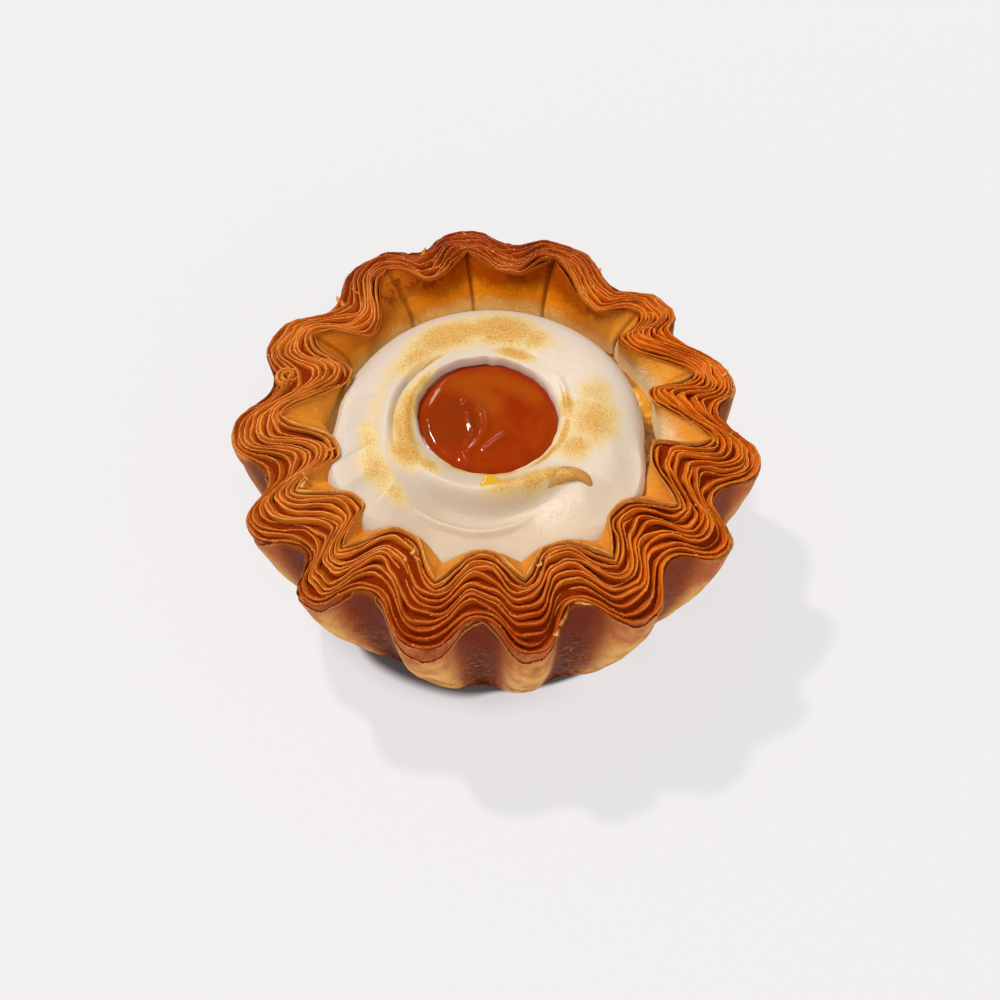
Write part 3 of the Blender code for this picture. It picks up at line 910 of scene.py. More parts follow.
meringueShape = {
    "columns": 480,
    "rows": (8, 89, 10),  # up the well, over the top and down the side
    "lipRows": (0.2, 0.4, 0.6, 0.8, 0.93),  # round the lip of the well, as shares of a quarter turn
    "rowSpacing": 1.35,  # how much closer the rows over the top get away from the lip
    "centre": (-1.0, -1.6),
    "radius": 30.0,
    "frontSpread": 4.5,
    "belly": 36.4,
    "frontBelly": 39.4,
    "top": 45.2,
    "backDrop": 2.2,
    "crestRadius": 20.5,
    "roundness": 2.2,
    "wallGap": 0.6,
    "intoCrust": 0.3,
    "underRim": 0.7,  # how far below the rim it stays where it touches the crust
    "reachSteps": 14,  # for finding how far it reaches
    "frontBearing": -95.0,
    "touching": (158.0, -6.0),  # bearings between which it reaches the crust, by way of the front
    "footInset": 2.0,
    "footDepth": 0.3,  # how far it reaches down into the custard
    "wellRadiusAtFoot": 12.2,
    "wellSmoothing": 60,
    "wellRipples": ((0.08, 9.0, 1.0), (0.05, 23.0, 0.0)),  # size, number round the well and start
    "wellDents": ((0.2, 94.0, 2.2), (-0.25, 88.0, 4.0)),  # where the stroke began: size, bearing and width
    "lipWidth": 1.2,
    "lipWidthAtBack": 0.5,
    "lipAtBack": 43.2,
    "lipInFront": 42.9,
    "caramelLevel": 40.9,
    "stepBearing": -92.0,
    "stepSpread": 60.0,
    "stepRadii": (18.4, 22.6),
    "stepShare": 0.7,
}
meringueMiddle = (meringueShape["centre"][0] + shift[0], meringueShape["centre"][1] + shift[1])
# the rim of the well: bearing and radius, going down in bearing
wellRim = (
    (173, 14.3), (152, 14.9), (137, 15.1), (116, 15.0), (94, 14.35), (77, 14.15), (57, 13.4), (38, 13.25),
    (20, 13.15), (0, 13.1), (-24, 12.95), (-38, 12.9), (-61, 12.75), (-86, 13.1), (-109, 13.1), (-134, 13.2),
    (-160, 13.6),
)
# the last stroke of the piping bag: bearing, radius and height of its middle, and its thickness there
lastStroke = (
    (-84, 18.2, 41.0, 0.4), (-78, 18.3, 41.6, 0.8), (-70, 18.5, 42.3, 1.4), (-64, 18.6, 42.7, 1.8),
    (-57, 18.8, 43.1, 2.05), (-51, 19.2, 43.5, 1.95), (-45.5, 20.5, 44.1, 1.6), (-42, 22.2, 44.4, 1.2),
    (-40.8, 23.9, 44.3, 0.9), (-41.4, 25.3, 43.6, 0.7), (-42.8, 26.1, 42.6, 0.45),
)
# grooves and ridges left by the bag: bearing and radius along each, then its height and width
strokes = (
    (((-104, 17.4), (-92, 17.7), (-80, 18.0), (-68, 18.2), (-59, 18.5), (-51, 19.1), (-44, 20.6),
      (-38, 22.4)), 0.9, 2.3),
    (((114, 17.6), (130, 17.7), (145, 17.9), (157, 18.3), (170, 18.5), (185, 18.9), (200, 20.0),
      (212, 20.6)), -0.9, 0.45),
    (((112, 18.6), (130, 18.9), (145, 19.2), (160, 19.5), (173, 19.8), (189, 20.4), (200, 21.2),
      (212, 22.0)), 0.5, 0.9),
    (((120, 16.4), (144, 16.2), (163, 16.3), (180, 16.4), (196, 16.8), (210, 17.4), (226, 17.8)), 0.4, 1.0),
    (((52, 16.6), (60, 17.3), (68, 17.5), (78, 17.2), (88, 16.2), (94, 15.2)), -0.5, 0.4),
    (((0, 14.9), (6, 14.9), (14, 15.2), (24, 15.7), (34, 16.1), (40, 16.6)), 0.4, 0.5),
    (((228, 25.8), (242, 26.0), (249, 26.2), (257, 26.4), (266, 26.4), (274, 25.8), (284, 24.6),
      (294, 22.6)), 0.95, 0.8),
    (((226, 22.6), (240, 23.0), (255, 23.3), (270, 23.2), (284, 22.2), (296, 20.8)), -0.6, 1.6),
)
brownedStroke = strokes[1][0]  # the torch caught one groove all along
# where the torch caught the rest: bearing, radius, spread round, spread across, strength
toastPatches = (
    (112, 21.8, 26, 4.0, 1.0), (84, 21.8, 20, 4.4, 1.15), (66, 21.0, 10, 3.6, 0.8), (73, 16.2, 14, 1.7, 1.1),
    (136, 20.6, 20, 3.0, 0.8), (150, 22.0, 14, 2.6, 0.45), (165, 22.0, 14, 2.4, 0.35),
    (178, 22.6, 14, 2.2, 0.4), (-166, 24.2, 15, 2.6, 0.6), (-150, 25.6, 14, 3.0, 0.75),
    (-136, 26.0, 9, 2.4, 0.6),
    (172, 16.4, 26, 1.9, 0.95), (-168, 17.2, 22, 2.3, 1.05), (-150, 18.9, 14, 3.0, 1.1),
    (-134, 17.2, 12, 2.0, 0.75),
    (148, 15.8, 16, 1.2, 0.75), (-4, 19.6, 20, 5.6, 0.85), (14, 21.0, 13, 4.4, 0.6), (8, 15.2, 14, 1.6, 1.0),
    (-26, 18.2, 13, 3.6, 0.85), (-18, 14.9, 22, 1.0, 1.2), (-42, 14.4, 18, 0.6, 1.5),
    (-80, 18.0, 16, 2.5, 0.8), (-64, 18.4, 12, 2.5, 0.95), (-52, 19.2, 8, 2.2, 0.95),
    (-84, 14.0, 26, 0.6, 0.9), (-120, 14.2, 26, 0.6, 0.7), (132, 17.7, 12, 0.3, 1.3),
    (94, 21.4, 40, 2.2, 0.9),
)
# where it's wet and shines, given in the same way
glossPatches = (
    (-60, 25.0, 13, 3.2, 0.75), (30, 15.9, 10, 0.9, 1.0), (12, 15.1, 10, 0.8, 1.0), (-95, 25.6, 22, 1.2, 0.5),
)


def freeReach(bearing):
    front = np.cos(np.radians(bearing - meringueShape["frontBearing"]))
    return meringueShape["radius"] + meringueShape["frontSpread"] * smoothStep(front, -0.02, 0.6)


def touching(bearing, early=0.0, soft=9.0):
    first, last = meringueShape["touching"]
    turned, span = (bearing - first + early) % 360.0, (last - first) % 360.0 + 2.0 * early
    return smoothStep(turned, 0.0, soft) * smoothStep(-turned, -span, soft - span)


def meringueReach(bearing, height):
    # how far it reaches: freely, or up to the crust, whose folds are given about its own middle
    angle = np.radians(bearing)
    shape = meringueShape
    free, contact = freeReach(bearing), touching(bearing)
    reach = free
    for _ in range(shape["reachSteps"]):
        x, y = shape["centre"][0] + reach * np.cos(angle), shape["centre"][1] + reach * np.sin(angle)
        turn = turnAt(np.degrees(np.arctan2(y, x)))
        inside = innerWallRadius(turn, height) - shape["wallGap"]
        # in front it runs on into the crust, out of sight
        limit = mix(inside, rimRadius(turn, 0.0) + shape["intoCrust"], contact)
        reach = reach + 0.7 * (limit - np.hypot(x, y))
    return np.minimum(free, reach)


wholeDegrees = np.arange(360.0)


def smoothedWell():
    bearings, radii = zip(*wellRim)
    radii = np.interp(wholeDegrees, bearings, radii, period=360.0)
    for _ in range(meringueShape["wellSmoothing"]):
        radii = (np.roll(radii, 2) + radii + np.roll(radii, -2)) / 3.0
    return radii


wellRadii = smoothedWell()


def wellRadius(bearing):
    angle = np.radians(bearing)
    ripples = sum(size * np.sin(angle * count + start) for size, count, start in meringueShape["wellRipples"])
    return np.interp(bearing, wholeDegrees, wellRadii, period=360.0) + ripples


def lipRadius(bearing):
    shape = meringueShape
    back = smoothStep(np.sin(np.radians(bearing - 15.0)), 0.35, 0.8)
    return wellRadius(bearing) + mix(shape["lipWidth"], shape["lipWidthAtBack"], back)


def bellyHeight(bearing):
    # the height of the ring's widest part
    return mix(meringueShape["belly"], meringueShape["frontBelly"], touching(bearing, 16.0, 36.0))


def alongStroke(line, bearing, radius):
    # distance from a line given as bearings and radii, and a fade at its two ends
    bearings, radii = (np.array(values, float) for values in zip(*line))
    turned = (bearing - bearings[0]) % 360.0
    span = bearings[-1] - bearings[0]
    off = radius - np.interp(turned, bearings - bearings[0], radii)
    return off, smoothStep(turned, 0.0, 0.35 * span) * smoothStep(turned, span, 0.65 * span) * (turned < span)


def meringueHeight(radius, bearing):
    shape = meringueShape
    girth = freeReach(bearing)
    front = 0.5 - 0.5 * np.sin(np.radians(bearing))
    top = shape["top"] - shape["backDrop"] * (1.0 - front)
    inward = (shape["crestRadius"] - radius) / (shape["crestRadius"] - lipRadius(bearing))
    inside = mix(top, mix(shape["lipAtBack"], shape["lipInFront"], front), np.maximum(0.0, inward) ** 2)
    outward = np.clip((radius - shape["crestRadius"]) / (girth - shape["crestRadius"]), 0.0, 1.0)
    rounded = (1.0 - outward ** shape["roundness"]) ** (1.0 / shape["roundness"])
    belly = bellyHeight(bearing)
    height = np.where(radius <= shape["crestRadius"], inside, mix(belly, top, rounded))
    offStep = np.abs((bearing - shape["stepBearing"] + 180.0) % 360.0 - 180.0)
    inStep = smoothStep(radius, *shape["stepRadii"]) * smoothStep(-offStep, -shape["stepSpread"], -18.0)
    height = mix(height, belly, shape["stepShare"] * inStep)
    for line, rise, width in strokes:
        off, fade = alongStroke(line, bearing, radius)
        shaped = hump(off, width) if rise > 0.0 else np.exp(-np.abs(off) / width)
        height = height + rise * shaped * fade
    return height


def meringueRing():
    # the ring's surface as rows of points about its own middle
    shape, low = meringueShape, crustShape["custardLevel"] - meringueShape["footDepth"]
    wellRows, topRows, sideRows = shape["rows"]
    bearing = np.arange(shape["columns"]) * 360.0 / shape["columns"]
    girth = meringueReach(bearing, bellyHeight(bearing))
    foot = meringueReach(bearing, crustShape["custardLevel"]) - shape["footInset"]
    rim, edge = wellRadius(bearing), lipRadius(bearing)
    for size, middle, width in shape["wellDents"]:
        rim = rim + size * hump(bearing - middle, width)
    rows = []
    for share in np.linspace(0.0, 1.0, wellRows):
        rows.append((mix(shape["wellRadiusAtFoot"], rim, share), mix(low, shape["caramelLevel"], share)))
    lip = meringueHeight(edge, bearing)
    for share in shape["lipRows"]:
        turned = 0.5 * np.pi * share
        rows.append((mix(edge, rim, np.cos(turned)), mix(shape["caramelLevel"], lip, np.sin(turned))))
    for step in range(topRows):
        radius = mix(edge, girth, 1.0 - (1.0 - step / topRows) ** shape["rowSpacing"])
        rows.append((radius, meringueHeight(radius, bearing)))
    contact = touching(bearing, 6.0, 20.0)
    ceiling = crustShape["rimTop"] - shape["underRim"]
    for row, (radius, height) in enumerate(rows):
        near = contact * smoothStep(radius - girth, -8.0, 0.6) * 1.04
        rows[row] = radius, height - np.maximum(0.0, height - ceiling) * near
    side = rows[-1][1]
    for share in np.linspace(0.0, 1.0, sideRows):
        rows.append((mix(girth, foot, share**2), mix(side, low, share)))
    points = [pointsRound(meringueMiddle, np.radians(bearing), *row) for row in rows]
    return np.concatenate(points), ringFaces(len(rows), len(bearing), joined=True)


strokeLook = {"samples": 60, "sides": 14, "width": 1.1, "height": 0.8, "tip": 0.4}


def strokeTube():
    # the last stroke, a rounded ridge that leaves the ring and curls over at its tip
    look, given = strokeLook, np.array(lastStroke, float)
    at = np.linspace(0.0, len(given) - 1.0, look["samples"])
    bearing, radius, height, thickness = (np.interp(at, range(len(given)), column) for column in given.T)
    for values in (bearing, radius, height, thickness):
        values[1:-1] = (values[:-2] + values[1:-1] + values[2:]) / 3.0
    line = pointsRound(meringueMiddle, np.radians(bearing), radius, height)
    along = np.gradient(line, axis=0)
    angle = 2.0 * np.pi * np.arange(look["sides"]) / look["sides"]
    rings = []
    for middle, way, thick in zip(line, along, thickness):
        side = np.cross(way, (0.0, 0.0, 1.0))
        side = side / np.linalg.norm(side)
        up = np.cross(side, way / np.linalg.norm(way))
        section = np.outer(np.cos(angle), side) * look["width"] + np.outer(np.sin(angle), up) * look["height"]
        rings.append(middle + thick * section)
    return cappedRings(rings, line[0], line[-1] + look["tip"] * along[-1])


def strokeToastAndTopLight():
    # browner towards its tip; lighter over its upper half, a painted highlight from the light above
    samples, sides = strokeLook["samples"], strokeLook["sides"]
    along = np.append(np.repeat(np.linspace(0.0, 1.0, samples), sides), (0.0, 1.0))
    top = np.append(np.tile(np.sin(2.0 * np.pi * np.arange(sides) / sides), samples), (0.0, 0.0))
    tipward = 0.4 * smoothStep(along, 0.4, 0.6) + 0.3 * smoothStep(along, 0.6, 1.0)
    return 1.0 + tipward - 0.2 * np.maximum(top, 0.0)


def aboutMeringue(points):
    x, y = points[:, 0] - meringueMiddle[0], points[:, 1] - meringueMiddle[1]
    return np.degrees(np.arctan2(y, x)), np.hypot(x, y)


def patchesAt(points, patches):
    bearing, radius = aboutMeringue(points)
    total = 0.0 * radius
    for patchBearing, patchRadius, spreadRound, spreadAcross, strength in patches:
        offRound = ((bearing - patchBearing + 180.0) % 360.0 - 180.0) / spreadRound
        offAcross = (radius - patchRadius) / spreadAcross
        total = np.maximum(total, strength * np.exp(-(offRound**2) - offAcross**2))
    return total


def toastAt(points):
    bearing, radius = aboutMeringue(points)
    crease, fade = alongStroke(brownedStroke, bearing, radius)
    browned = hump(crease, 0.3) * fade * smoothStep(-bearing, -150.0, -120.0) * (bearing > 0.0)
    return np.maximum(patchesAt(points, toastPatches), 1.3 * browned)


def makeMeringue(material):
    points, faces = meringueRing()
    attributes = {"toast": toastAt(points), "gloss": patchesAt(points, glossPatches)}
    makePiece("meringueRing", points, faces, material, "meringue", "torched_meringue", attributes)
    # the stroke's toast also carries painted light: lighter over its upper half
    toast = strokeToastAndTopLight()
    attributes = {"toast": toast, "gloss": 0.0 * toast}
    makePiece("meringueStroke", *strokeTube(), material, "meringue", "torched_meringue", attributes)


# Caramel: soft and glossy, with the swirl of the spoon that filled it

caramelShape = {
    "middle": (-1.7, -1.6),
    "columns": 220,
    "rows": 80,
    "rowSpacing": 0.85,  # how much closer the rows get towards the middle
    "intoMeringue": 0.12,
    "footInset": 0.3,
    "footHeight": 0.35,  # over the custard
    "edgeDrop": 0.55,
    "edgeWidth": 2.2,
    # soft lumps and hollows: x and y from the middle, width, height
    "lumps": ((-7.0, 0.6, 5.2, 0.6), (3.4, 7.2, 5.5, 0.35), (5.5, -3.0, 5.5, -0.1)),
    # ridges where it folded: the points of each, height, width
    "folds": (
        (((-4.0, 4.6), (-1.9, 4.0), (-0.3, 2.0), (0.1, -0.6), (-0.3, -2.4), (-1.6, -4.9), (-3.3, -7.0),
          (-4.1, -8.5), (-3.3, -9.8)), 0.5, 0.85),
        (((-3.5, 1.4), (-3.2, -0.9), (-2.7, -2.8)), 0.32, 0.7),
        (((-2.6, -2.8), (-3.4, -4.6), (-4.9, -7.2), (-4.7, -8.6), (-4.0, -10.2)), 0.3, 0.6),
        (((3.5, -3.3), (2.6, -4.1), (1.0, -5.6), (-0.1, -6.6)), 0.42, 0.85),
        (((-11.7, 0.2), (-10.9, 3.4), (-8.8, 7.2), (-5.8, 8.5)), 0.2, 1.0),
        (((11.2, 1.5), (11.0, -3.0), (9.0, -6.8)), 0.16, 0.9),
    ),
    # where it is lighter, partly a milkier caramel and partly a painted reflection: the points of each line,
    # and how far from it
    "lit": (
        (((-5.4, 9.4), (-1.0, 10.0), (3.0, 9.6), (7.0, 7.6), (9.4, 5.8)), 3.5),
        (((-3.0, 8.6), (-0.8, 5.8), (0.8, 3.6)), 4.0),
    ),
    "litFade": 3.2,
    "darkLump": ((-7.0, 0.0), 8.0, 4.0),  # its middle, and the distances where it ends and is whole
}


def distanceTo(line, x, y):
    nearest = np.full(x.shape, np.inf)
    for (x0, y0), (x1, y1) in zip(line, line[1:]):
        along = ((x - x0) * (x1 - x0) + (y - y0) * (y1 - y0)) / ((x1 - x0) ** 2 + (y1 - y0) ** 2)
        along = np.clip(along, 0.0, 1.0)
        nearest = np.minimum(nearest, np.hypot(x - mix(x0, x1, along), y - mix(y0, y1, along)))
    return nearest


def makeCaramel(material):
    shape, centre = caramelShape, meringueShape["centre"]
    angle = np.arange(shape["columns"]) * 2.0 * np.pi / shape["columns"]
    outer = wellRadius(np.degrees(angle)) + shape["intoMeringue"]
    foot = crustShape["custardLevel"] + shape["footHeight"]
    footRadius = meringueShape["wellRadiusAtFoot"] - shape["footInset"]
    rings = [pointsRound(meringueMiddle, angle, footRadius, foot)]
    lit, lump = [0.0 * angle], [0.0 * angle]
    (lumpX, lumpY), lumpEnd, lumpWhole = shape["darkLump"]
    for step in range(shape["rows"]):
        radius = outer * (1.0 - step / shape["rows"]) ** shape["rowSpacing"]
        x = radius * np.cos(angle) + centre[0] - shape["middle"][0]
        y = radius * np.sin(angle) + centre[1] - shape["middle"][1]
        inwards = outer - radius
        fromEdge = smoothStep(inwards, 0.0, shape["edgeWidth"])
        height = meringueShape["caramelLevel"] + shape["edgeDrop"] * fromEdge
        for middleX, middleY, width, rise in shape["lumps"]:
            swell = hump(np.hypot(x - middleX, y - middleY), width)
            height = height + rise * swell * smoothStep(inwards, 0.0, 1.5)
        for line, rise, width in shape["folds"]:
            height = height + rise * hump(distanceTo(line, x, y), width)
        rings.append(pointsRound(meringueMiddle, angle, radius, height))
        # the lit share: partly milkier caramel, partly a painted reflection
        near = [smoothStep(-distanceTo(line, x, y), -width, shape["litFade"] - width)
                for line, width in shape["lit"]]
        lit.append(np.maximum(*near) * smoothStep(inwards, 1.0, 1.5))
        lump.append(smoothStep(-np.hypot(x - lumpX, y - lumpY), -lumpEnd, -lumpWhole))
    poles = (*meringueMiddle, foot), rings[-1].mean(axis=0)
    attributes = {name: np.append(np.concatenate(values), (0.0, 0.0))
                  for name, values in {"lit": lit, "lump": lump}.items()}
    makePiece("caramelPool", *cappedRings(rings, *poles), material, "caramel", "caramel", attributes)


# A drip of custard on the lip of the well

drip = {
    "columns": 32,
    "rows": 12,
    "bearing": -90.5,
    "radius": 17.3,
    "lift": 0.1,
    "size": (1.9, 1.0, 0.3),
    "slope": 0.3,
    "chances": ((0.35, 40, 7),),
}


def makeDrip(material):
    long, wide, high = drip["size"]
    turn = np.arange(drip["columns"]) / drip["columns"] * len(flutes)
    angle = 2.0 * np.pi * np.arange(drip["columns"]) / drip["columns"]
    reach = 1.0 + unevenness(drip["chances"], turn)
    level = meringueHeight(drip["radius"], drip["bearing"]) + drip["lift"]
    middle = pointsRound(meringueMiddle, np.radians(drip["bearing"]), drip["radius"], level)
    rings = []
    for step in range(1, drip["rows"]):
        across, up = math.sin(math.pi * step / drip["rows"]), math.cos(math.pi * step / drip["rows"])
        x, y = long * across * reach * np.cos(angle), wide * across * reach * np.sin(angle)
        rings.append(np.stack([x, y, high * up + drip["slope"] * y], axis=-1) + middle)
    poles = middle + (0.0, 0.0, high), middle - (0.0, 0.0, high)
    makePiece("custardDrip", *cappedRings(rings, *poles), material, "custard", "egg_custard")


# Finishes

warmGlint = (1.0, 0.62, 0.28, 1.0)


def leafMaterial():
    material, nodes, feed = newMaterial("bakedLeaves", {
        "Specular IOR Level": 0.2, "Specular Tint": warmGlint, "Subsurface Weight": 0.4,
        "Subsurface Scale": 0.9 * mm, "Subsurface Radius": (1.0, 0.3, 0.06)})
    place = nodes.place()
    x, y = nodes.xAndY(place)
    down, across, leaf = (nodes.attribute(name) for name in ("down", "across", "leaf"))
    patches = nodes.noise(place, 5.0)
    streaks = nodes.noise(place, 1.1, detail=4.0)
    # own varies from leaf to leaf, and lines run along each of them
    shifted = nodes.add("ShaderNodeCombineXYZ", {}, {"Z": leaf * 9.0})
    own = nodes.noise(nodes.vectors("ADD", place, shifted), 8.0, detail=2.0)
    layer = nodes.add("ShaderNodeCombineXYZ", {}, {"X": down * 2.4, "Y": leaf * 9.0})
    lines = nodes.noise(nodes.vectors("ADD", nodes.vectors("SCALE", place, scale=0.3), layer), 1.0)
    # darker deeper down between the leaves: partly the oily dough's own colour, partly painted shade
    grooveOilAndShade = nodes.ramp(down + (own - 0.5) * 0.5, 0.55, 1.6)
    face = nodes.layered(
        nodes.fade(patches, 0.35, 0.68, (218, 108, 12), (196, 82, 2)),
        (nodes.ramp(across, 0.3, 0.0), (218, 130, 32)),
        (nodes.ramp(own, 0.52, 0.36) * 0.55, (214, 118, 30)),
        (nodes.ramp(streaks, 0.52, 0.72) * 0.3, (220, 128, 36)),
        (grooveOilAndShade, (142, 46, 2)),
        (nodes.ramp(lines, 0.48, 0.36) * 0.5, (150, 52, 2)),
        (nodes.ramp(lines, 0.54, 0.64) * 0.5, (226, 142, 58)),
        # painted highlight: the faces are a little more golden on the left, where the light falls
        (nodes.ramp(x, -16.0, -40.0) * 0.2, (224, 156, 52)))
    # lighter along the crests: partly the crisp edges' own colour, partly a painted highlight
    crestEdgeAndHighlight = nodes.ramp(down + (streaks - 0.5) * 0.3, 0.2, 0.03)
    colour = nodes.mix(crestEdgeAndHighlight, face, nodes.fade(streaks, 0.38, 0.62, (214, 132, 60), (242, 172, 94)))
    # browner in places, outwards and at the back, darker in front, and more golden at the right
    outward = nodes.ramp(across, 0.5, 1.0) * (nodes.ramp(x, -4.0, -34.0) * 0.5 + 0.25)
    feed("Base Color", nodes.tinted(
        colour,
        (nodes.ramp(own, 0.5, 0.66) * 0.35, (196, 150, 122)),
        (outward, (204, 166, 120)),
        (nodes.ramp(y, 28.0, 46.0), (196, 150, 124)),
        (nodes.ramp(y, -34.0, -50.0), (216, 168, 140)),
        (nodes.ramp(x, 8.0, 34.0), (255, 238, 176))))
    feed("Roughness", nodes.noise(place, 2.0) * 0.3 + 0.28)
    feed("Normal", nodes.bump(nodes.noise(place, 0.6, detail=5.0, roughness=0.65), 0.22, 0.8))
    return material


def crumbMaterial():
    material, nodes, feed = newMaterial("bakedCrumbs", {
        "Specular IOR Level": 0.3, "Specular Tint": warmGlint})
    place = nodes.place()
    feed("Base Color", nodes.fade(nodes.noise(place, 1.5), 0.4, 0.6, (232, 164, 84), (206, 118, 44)))
    feed("Roughness", nodes.noise(place, 3.0) * 0.4 + 0.3)
    return material


def wallMaterial():
    # the emission is a painted glow on the inner wall, fed below
    material, nodes, feed = newMaterial("bakedWall", {
        "Specular IOR Level": 0.04, "Specular Tint": warmGlint, "Emission Strength": 0.12})
    place = nodes.place()
    x, y = nodes.xAndY(place)
    share, depth, bed, lobe, inner, torn = (nodes.attribute(name) for name in (
        "wallShare", "innerDepth", "bed", "lobe", "inner", "torn"))
    blotches = nodes.noise(nodes.stretched(place, (1.0, 1.0, 0.5)), 4.0, roughness=0.5)
    grain = nodes.noise(place, 0.7, detail=4.0)
    mottled = grain + (blotches - 0.5)
    inFold = lobe + (blotches - 0.5) * 0.45 + (grain - 0.5) * 0.15

    # outside: gold on the lobes, reddish under the rim, darkest in the folds
    gold = nodes.fade(blotches, 0.35, 0.65, (248, 190, 106), (228, 154, 76))
    reddish = nodes.fade(blotches, 0.35, 0.65, (220, 140, 78), (194, 104, 58))
    outside = nodes.mix(nodes.ramp(share + (blotches - 0.5) * 0.5, 0.45, 1.0), gold, reddish)
    outside = nodes.layered(outside, (nodes.ramp(inFold, 0.85, 0.25), (166, 78, 34)))
    inDepth = nodes.ramp(inFold - share * 0.16, 0.42, -0.12) * (1.0 - nodes.ramp(x, 14.0, 24.0) * 0.3)
    outside = nodes.mix(inDepth, outside, nodes.fade(share, 0.2, 0.9, (84, 20, 2), (124, 46, 22)))
    # short cracks low down, wrinkles over more of it, and a rough surface
    split = nodes.noise(nodes.stretched(place, (1.0, 1.0, 4.5)), 1.9)
    cracks = nodes.ramp(split, 0.54, 0.59) * nodes.ramp(share, 0.5, 0.2) * nodes.ramp(blotches, 0.42, 0.55)
    wrinkles = nodes.ramp(split, 0.49, 0.4) * nodes.ramp(share, 0.85, 0.4) * nodes.ramp(grain, 0.4, 0.6)
    outside = nodes.layered(outside, (cracks * 0.8, (104, 46, 16)), (wrinkles * 0.55, (218, 142, 70)))
    rough = nodes.ramp(nodes.noise(place, 0.45), 0.45, 0.62) * 0.35
    outside = nodes.tinted(outside, (rough, (206, 190, 178)))
    outside = nodes.layered(outside, (nodes.ramp(grain, 0.66, 0.74) * 0.5, (226, 160, 90)))

    # inside: brown under the rim at the back, golden, then pale where the filling shaded it
    right = nodes.ramp(x, 16.0, 28.0) * nodes.ramp(y, -18.0, -8.0)
    browning = nodes.ramp(y, -2.0, 26.0) * 1.9 + 2.4 - right * 1.6
    browning = browning + nodes.ramp(x, -12.0, -30.0) * nodes.ramp(y, 0.0, 16.0) * 0.8
    blur = depth + (blotches - 0.5) * 3.0 + (grain - 0.5) * 1.4 - browning
    # painted light: the inner wall is lighter and more golden on the left and right, towards the back, where
    # light falls on it
    paintedSideLight = nodes.maths("MAXIMUM", nodes.ramp(x, 12.0, 26.0), nodes.ramp(x, -12.0, -24.0) * 0.8)
    paintedSideLight = paintedSideLight * nodes.ramp(y, -2.0, 10.0)
    burnt = nodes.ramp(blotches + (grain - 0.5) * 0.3, 0.5, 0.6) * nodes.ramp(y, 16.0, 30.0)
    brown = nodes.layered(
        nodes.fade(y, 0.0, 24.0, (206, 116, 32), (158, 64, 0)),
        (paintedSideLight, (206, 114, 28)), (burnt * 0.75, (112, 36, 4)))
    gold = nodes.layered(
        nodes.fade(y, 0.0, 24.0, (232, 154, 56), (236, 138, 18)), (paintedSideLight, (240, 164, 58)))
    pale = nodes.layered(
        nodes.fade(grain, 0.35, 0.65, (255, 208, 112), (255, 230, 156)), (right, (255, 240, 200)))
    inside = nodes.mix(nodes.ramp(blur, -2.4, 0.8), brown, gold)
    inside = nodes.mix(nodes.ramp(blur, 0.4, 4.8), inside, pale)
    # darker along each crease of the inner wall, towards the back
    darkCreaseLine = nodes.ramp(lobe, 0.9965, 1.0) * nodes.ramp(y, 6.0, 20.0)
    inside = nodes.layered(
        inside, (nodes.ramp(depth, 11.0, 14.0), (206, 128, 34)), (darkCreaseLine * 0.6, (112, 52, 10)))

    # the smooth band along the inner edge, and the edge of the outer skin
    band = nodes.layered(
        nodes.fade(mottled, 0.3, 0.7, (238, 168, 84), (214, 126, 44)),
        (nodes.ramp(y, 0.0, 30.0), (176, 84, 24)), (nodes.ramp(depth, 0.06, 0.3) * 0.4, (180, 88, 24)))
    inside = nodes.mix(nodes.ramp(depth, 0.7, 1.3), band, inside)
    edge = nodes.layered(
        nodes.fade(grain, 0.35, 0.65, (214, 146, 80), (188, 106, 48)),
        (nodes.ramp(inFold, 0.75, 0.2), (140, 68, 26)))
    colour = nodes.mix(nodes.ramp(share, 0.985, 0.998), outside, nodes.mix(inner, edge, inside))

    # a pale line along each tear, and the dough under the torn skin, darkest just above the tear: partly
    # caramelized dough, partly painted shade
    tearLine = nodes.ramp(torn + (grain - 0.5) * 0.6, -0.55, -0.1) * 0.5
    colour = nodes.layered(colour, (tearLine, (240, 178, 106)))
    under = nodes.layered(
        nodes.fade(mottled, 0.35, 0.65, (204, 116, 62), (168, 80, 36)),
        (nodes.ramp(torn + (grain - 0.5) * 0.8, 0.9, 0.3), (132, 46, 6)))
    colour = nodes.mix(nodes.ramp(torn, -0.06, 0.06), colour, under)
    # the bed of the leaves is dark red-brown: partly the oily dough's own colour, partly painted shade
    feed("Base Color", nodes.layered(colour, (nodes.ramp(bed, 0.3, 1.0), (136, 42, 2))))
    # painted light: a glow low down inside lightens the wall where the crust and filling shade it
    paintedGlow = nodes.ramp(depth, 4.5, 8.5) * inner
    feed("Emission Color", nodes.mix(paintedGlow, seen(0, 0, 0), seen(255, 196, 100)))
    feed("Roughness", blotches * 0.3 + 0.35)
    pits = nodes.ramp(nodes.spots(place, 1.3), 0.22, 0.0)
    height = nodes.noise(place, 0.8, detail=6.0, roughness=0.7) - pits * 0.5 - cracks * 0.8
    feed("Normal", nodes.bump(height, 0.5, 0.8))
    return material


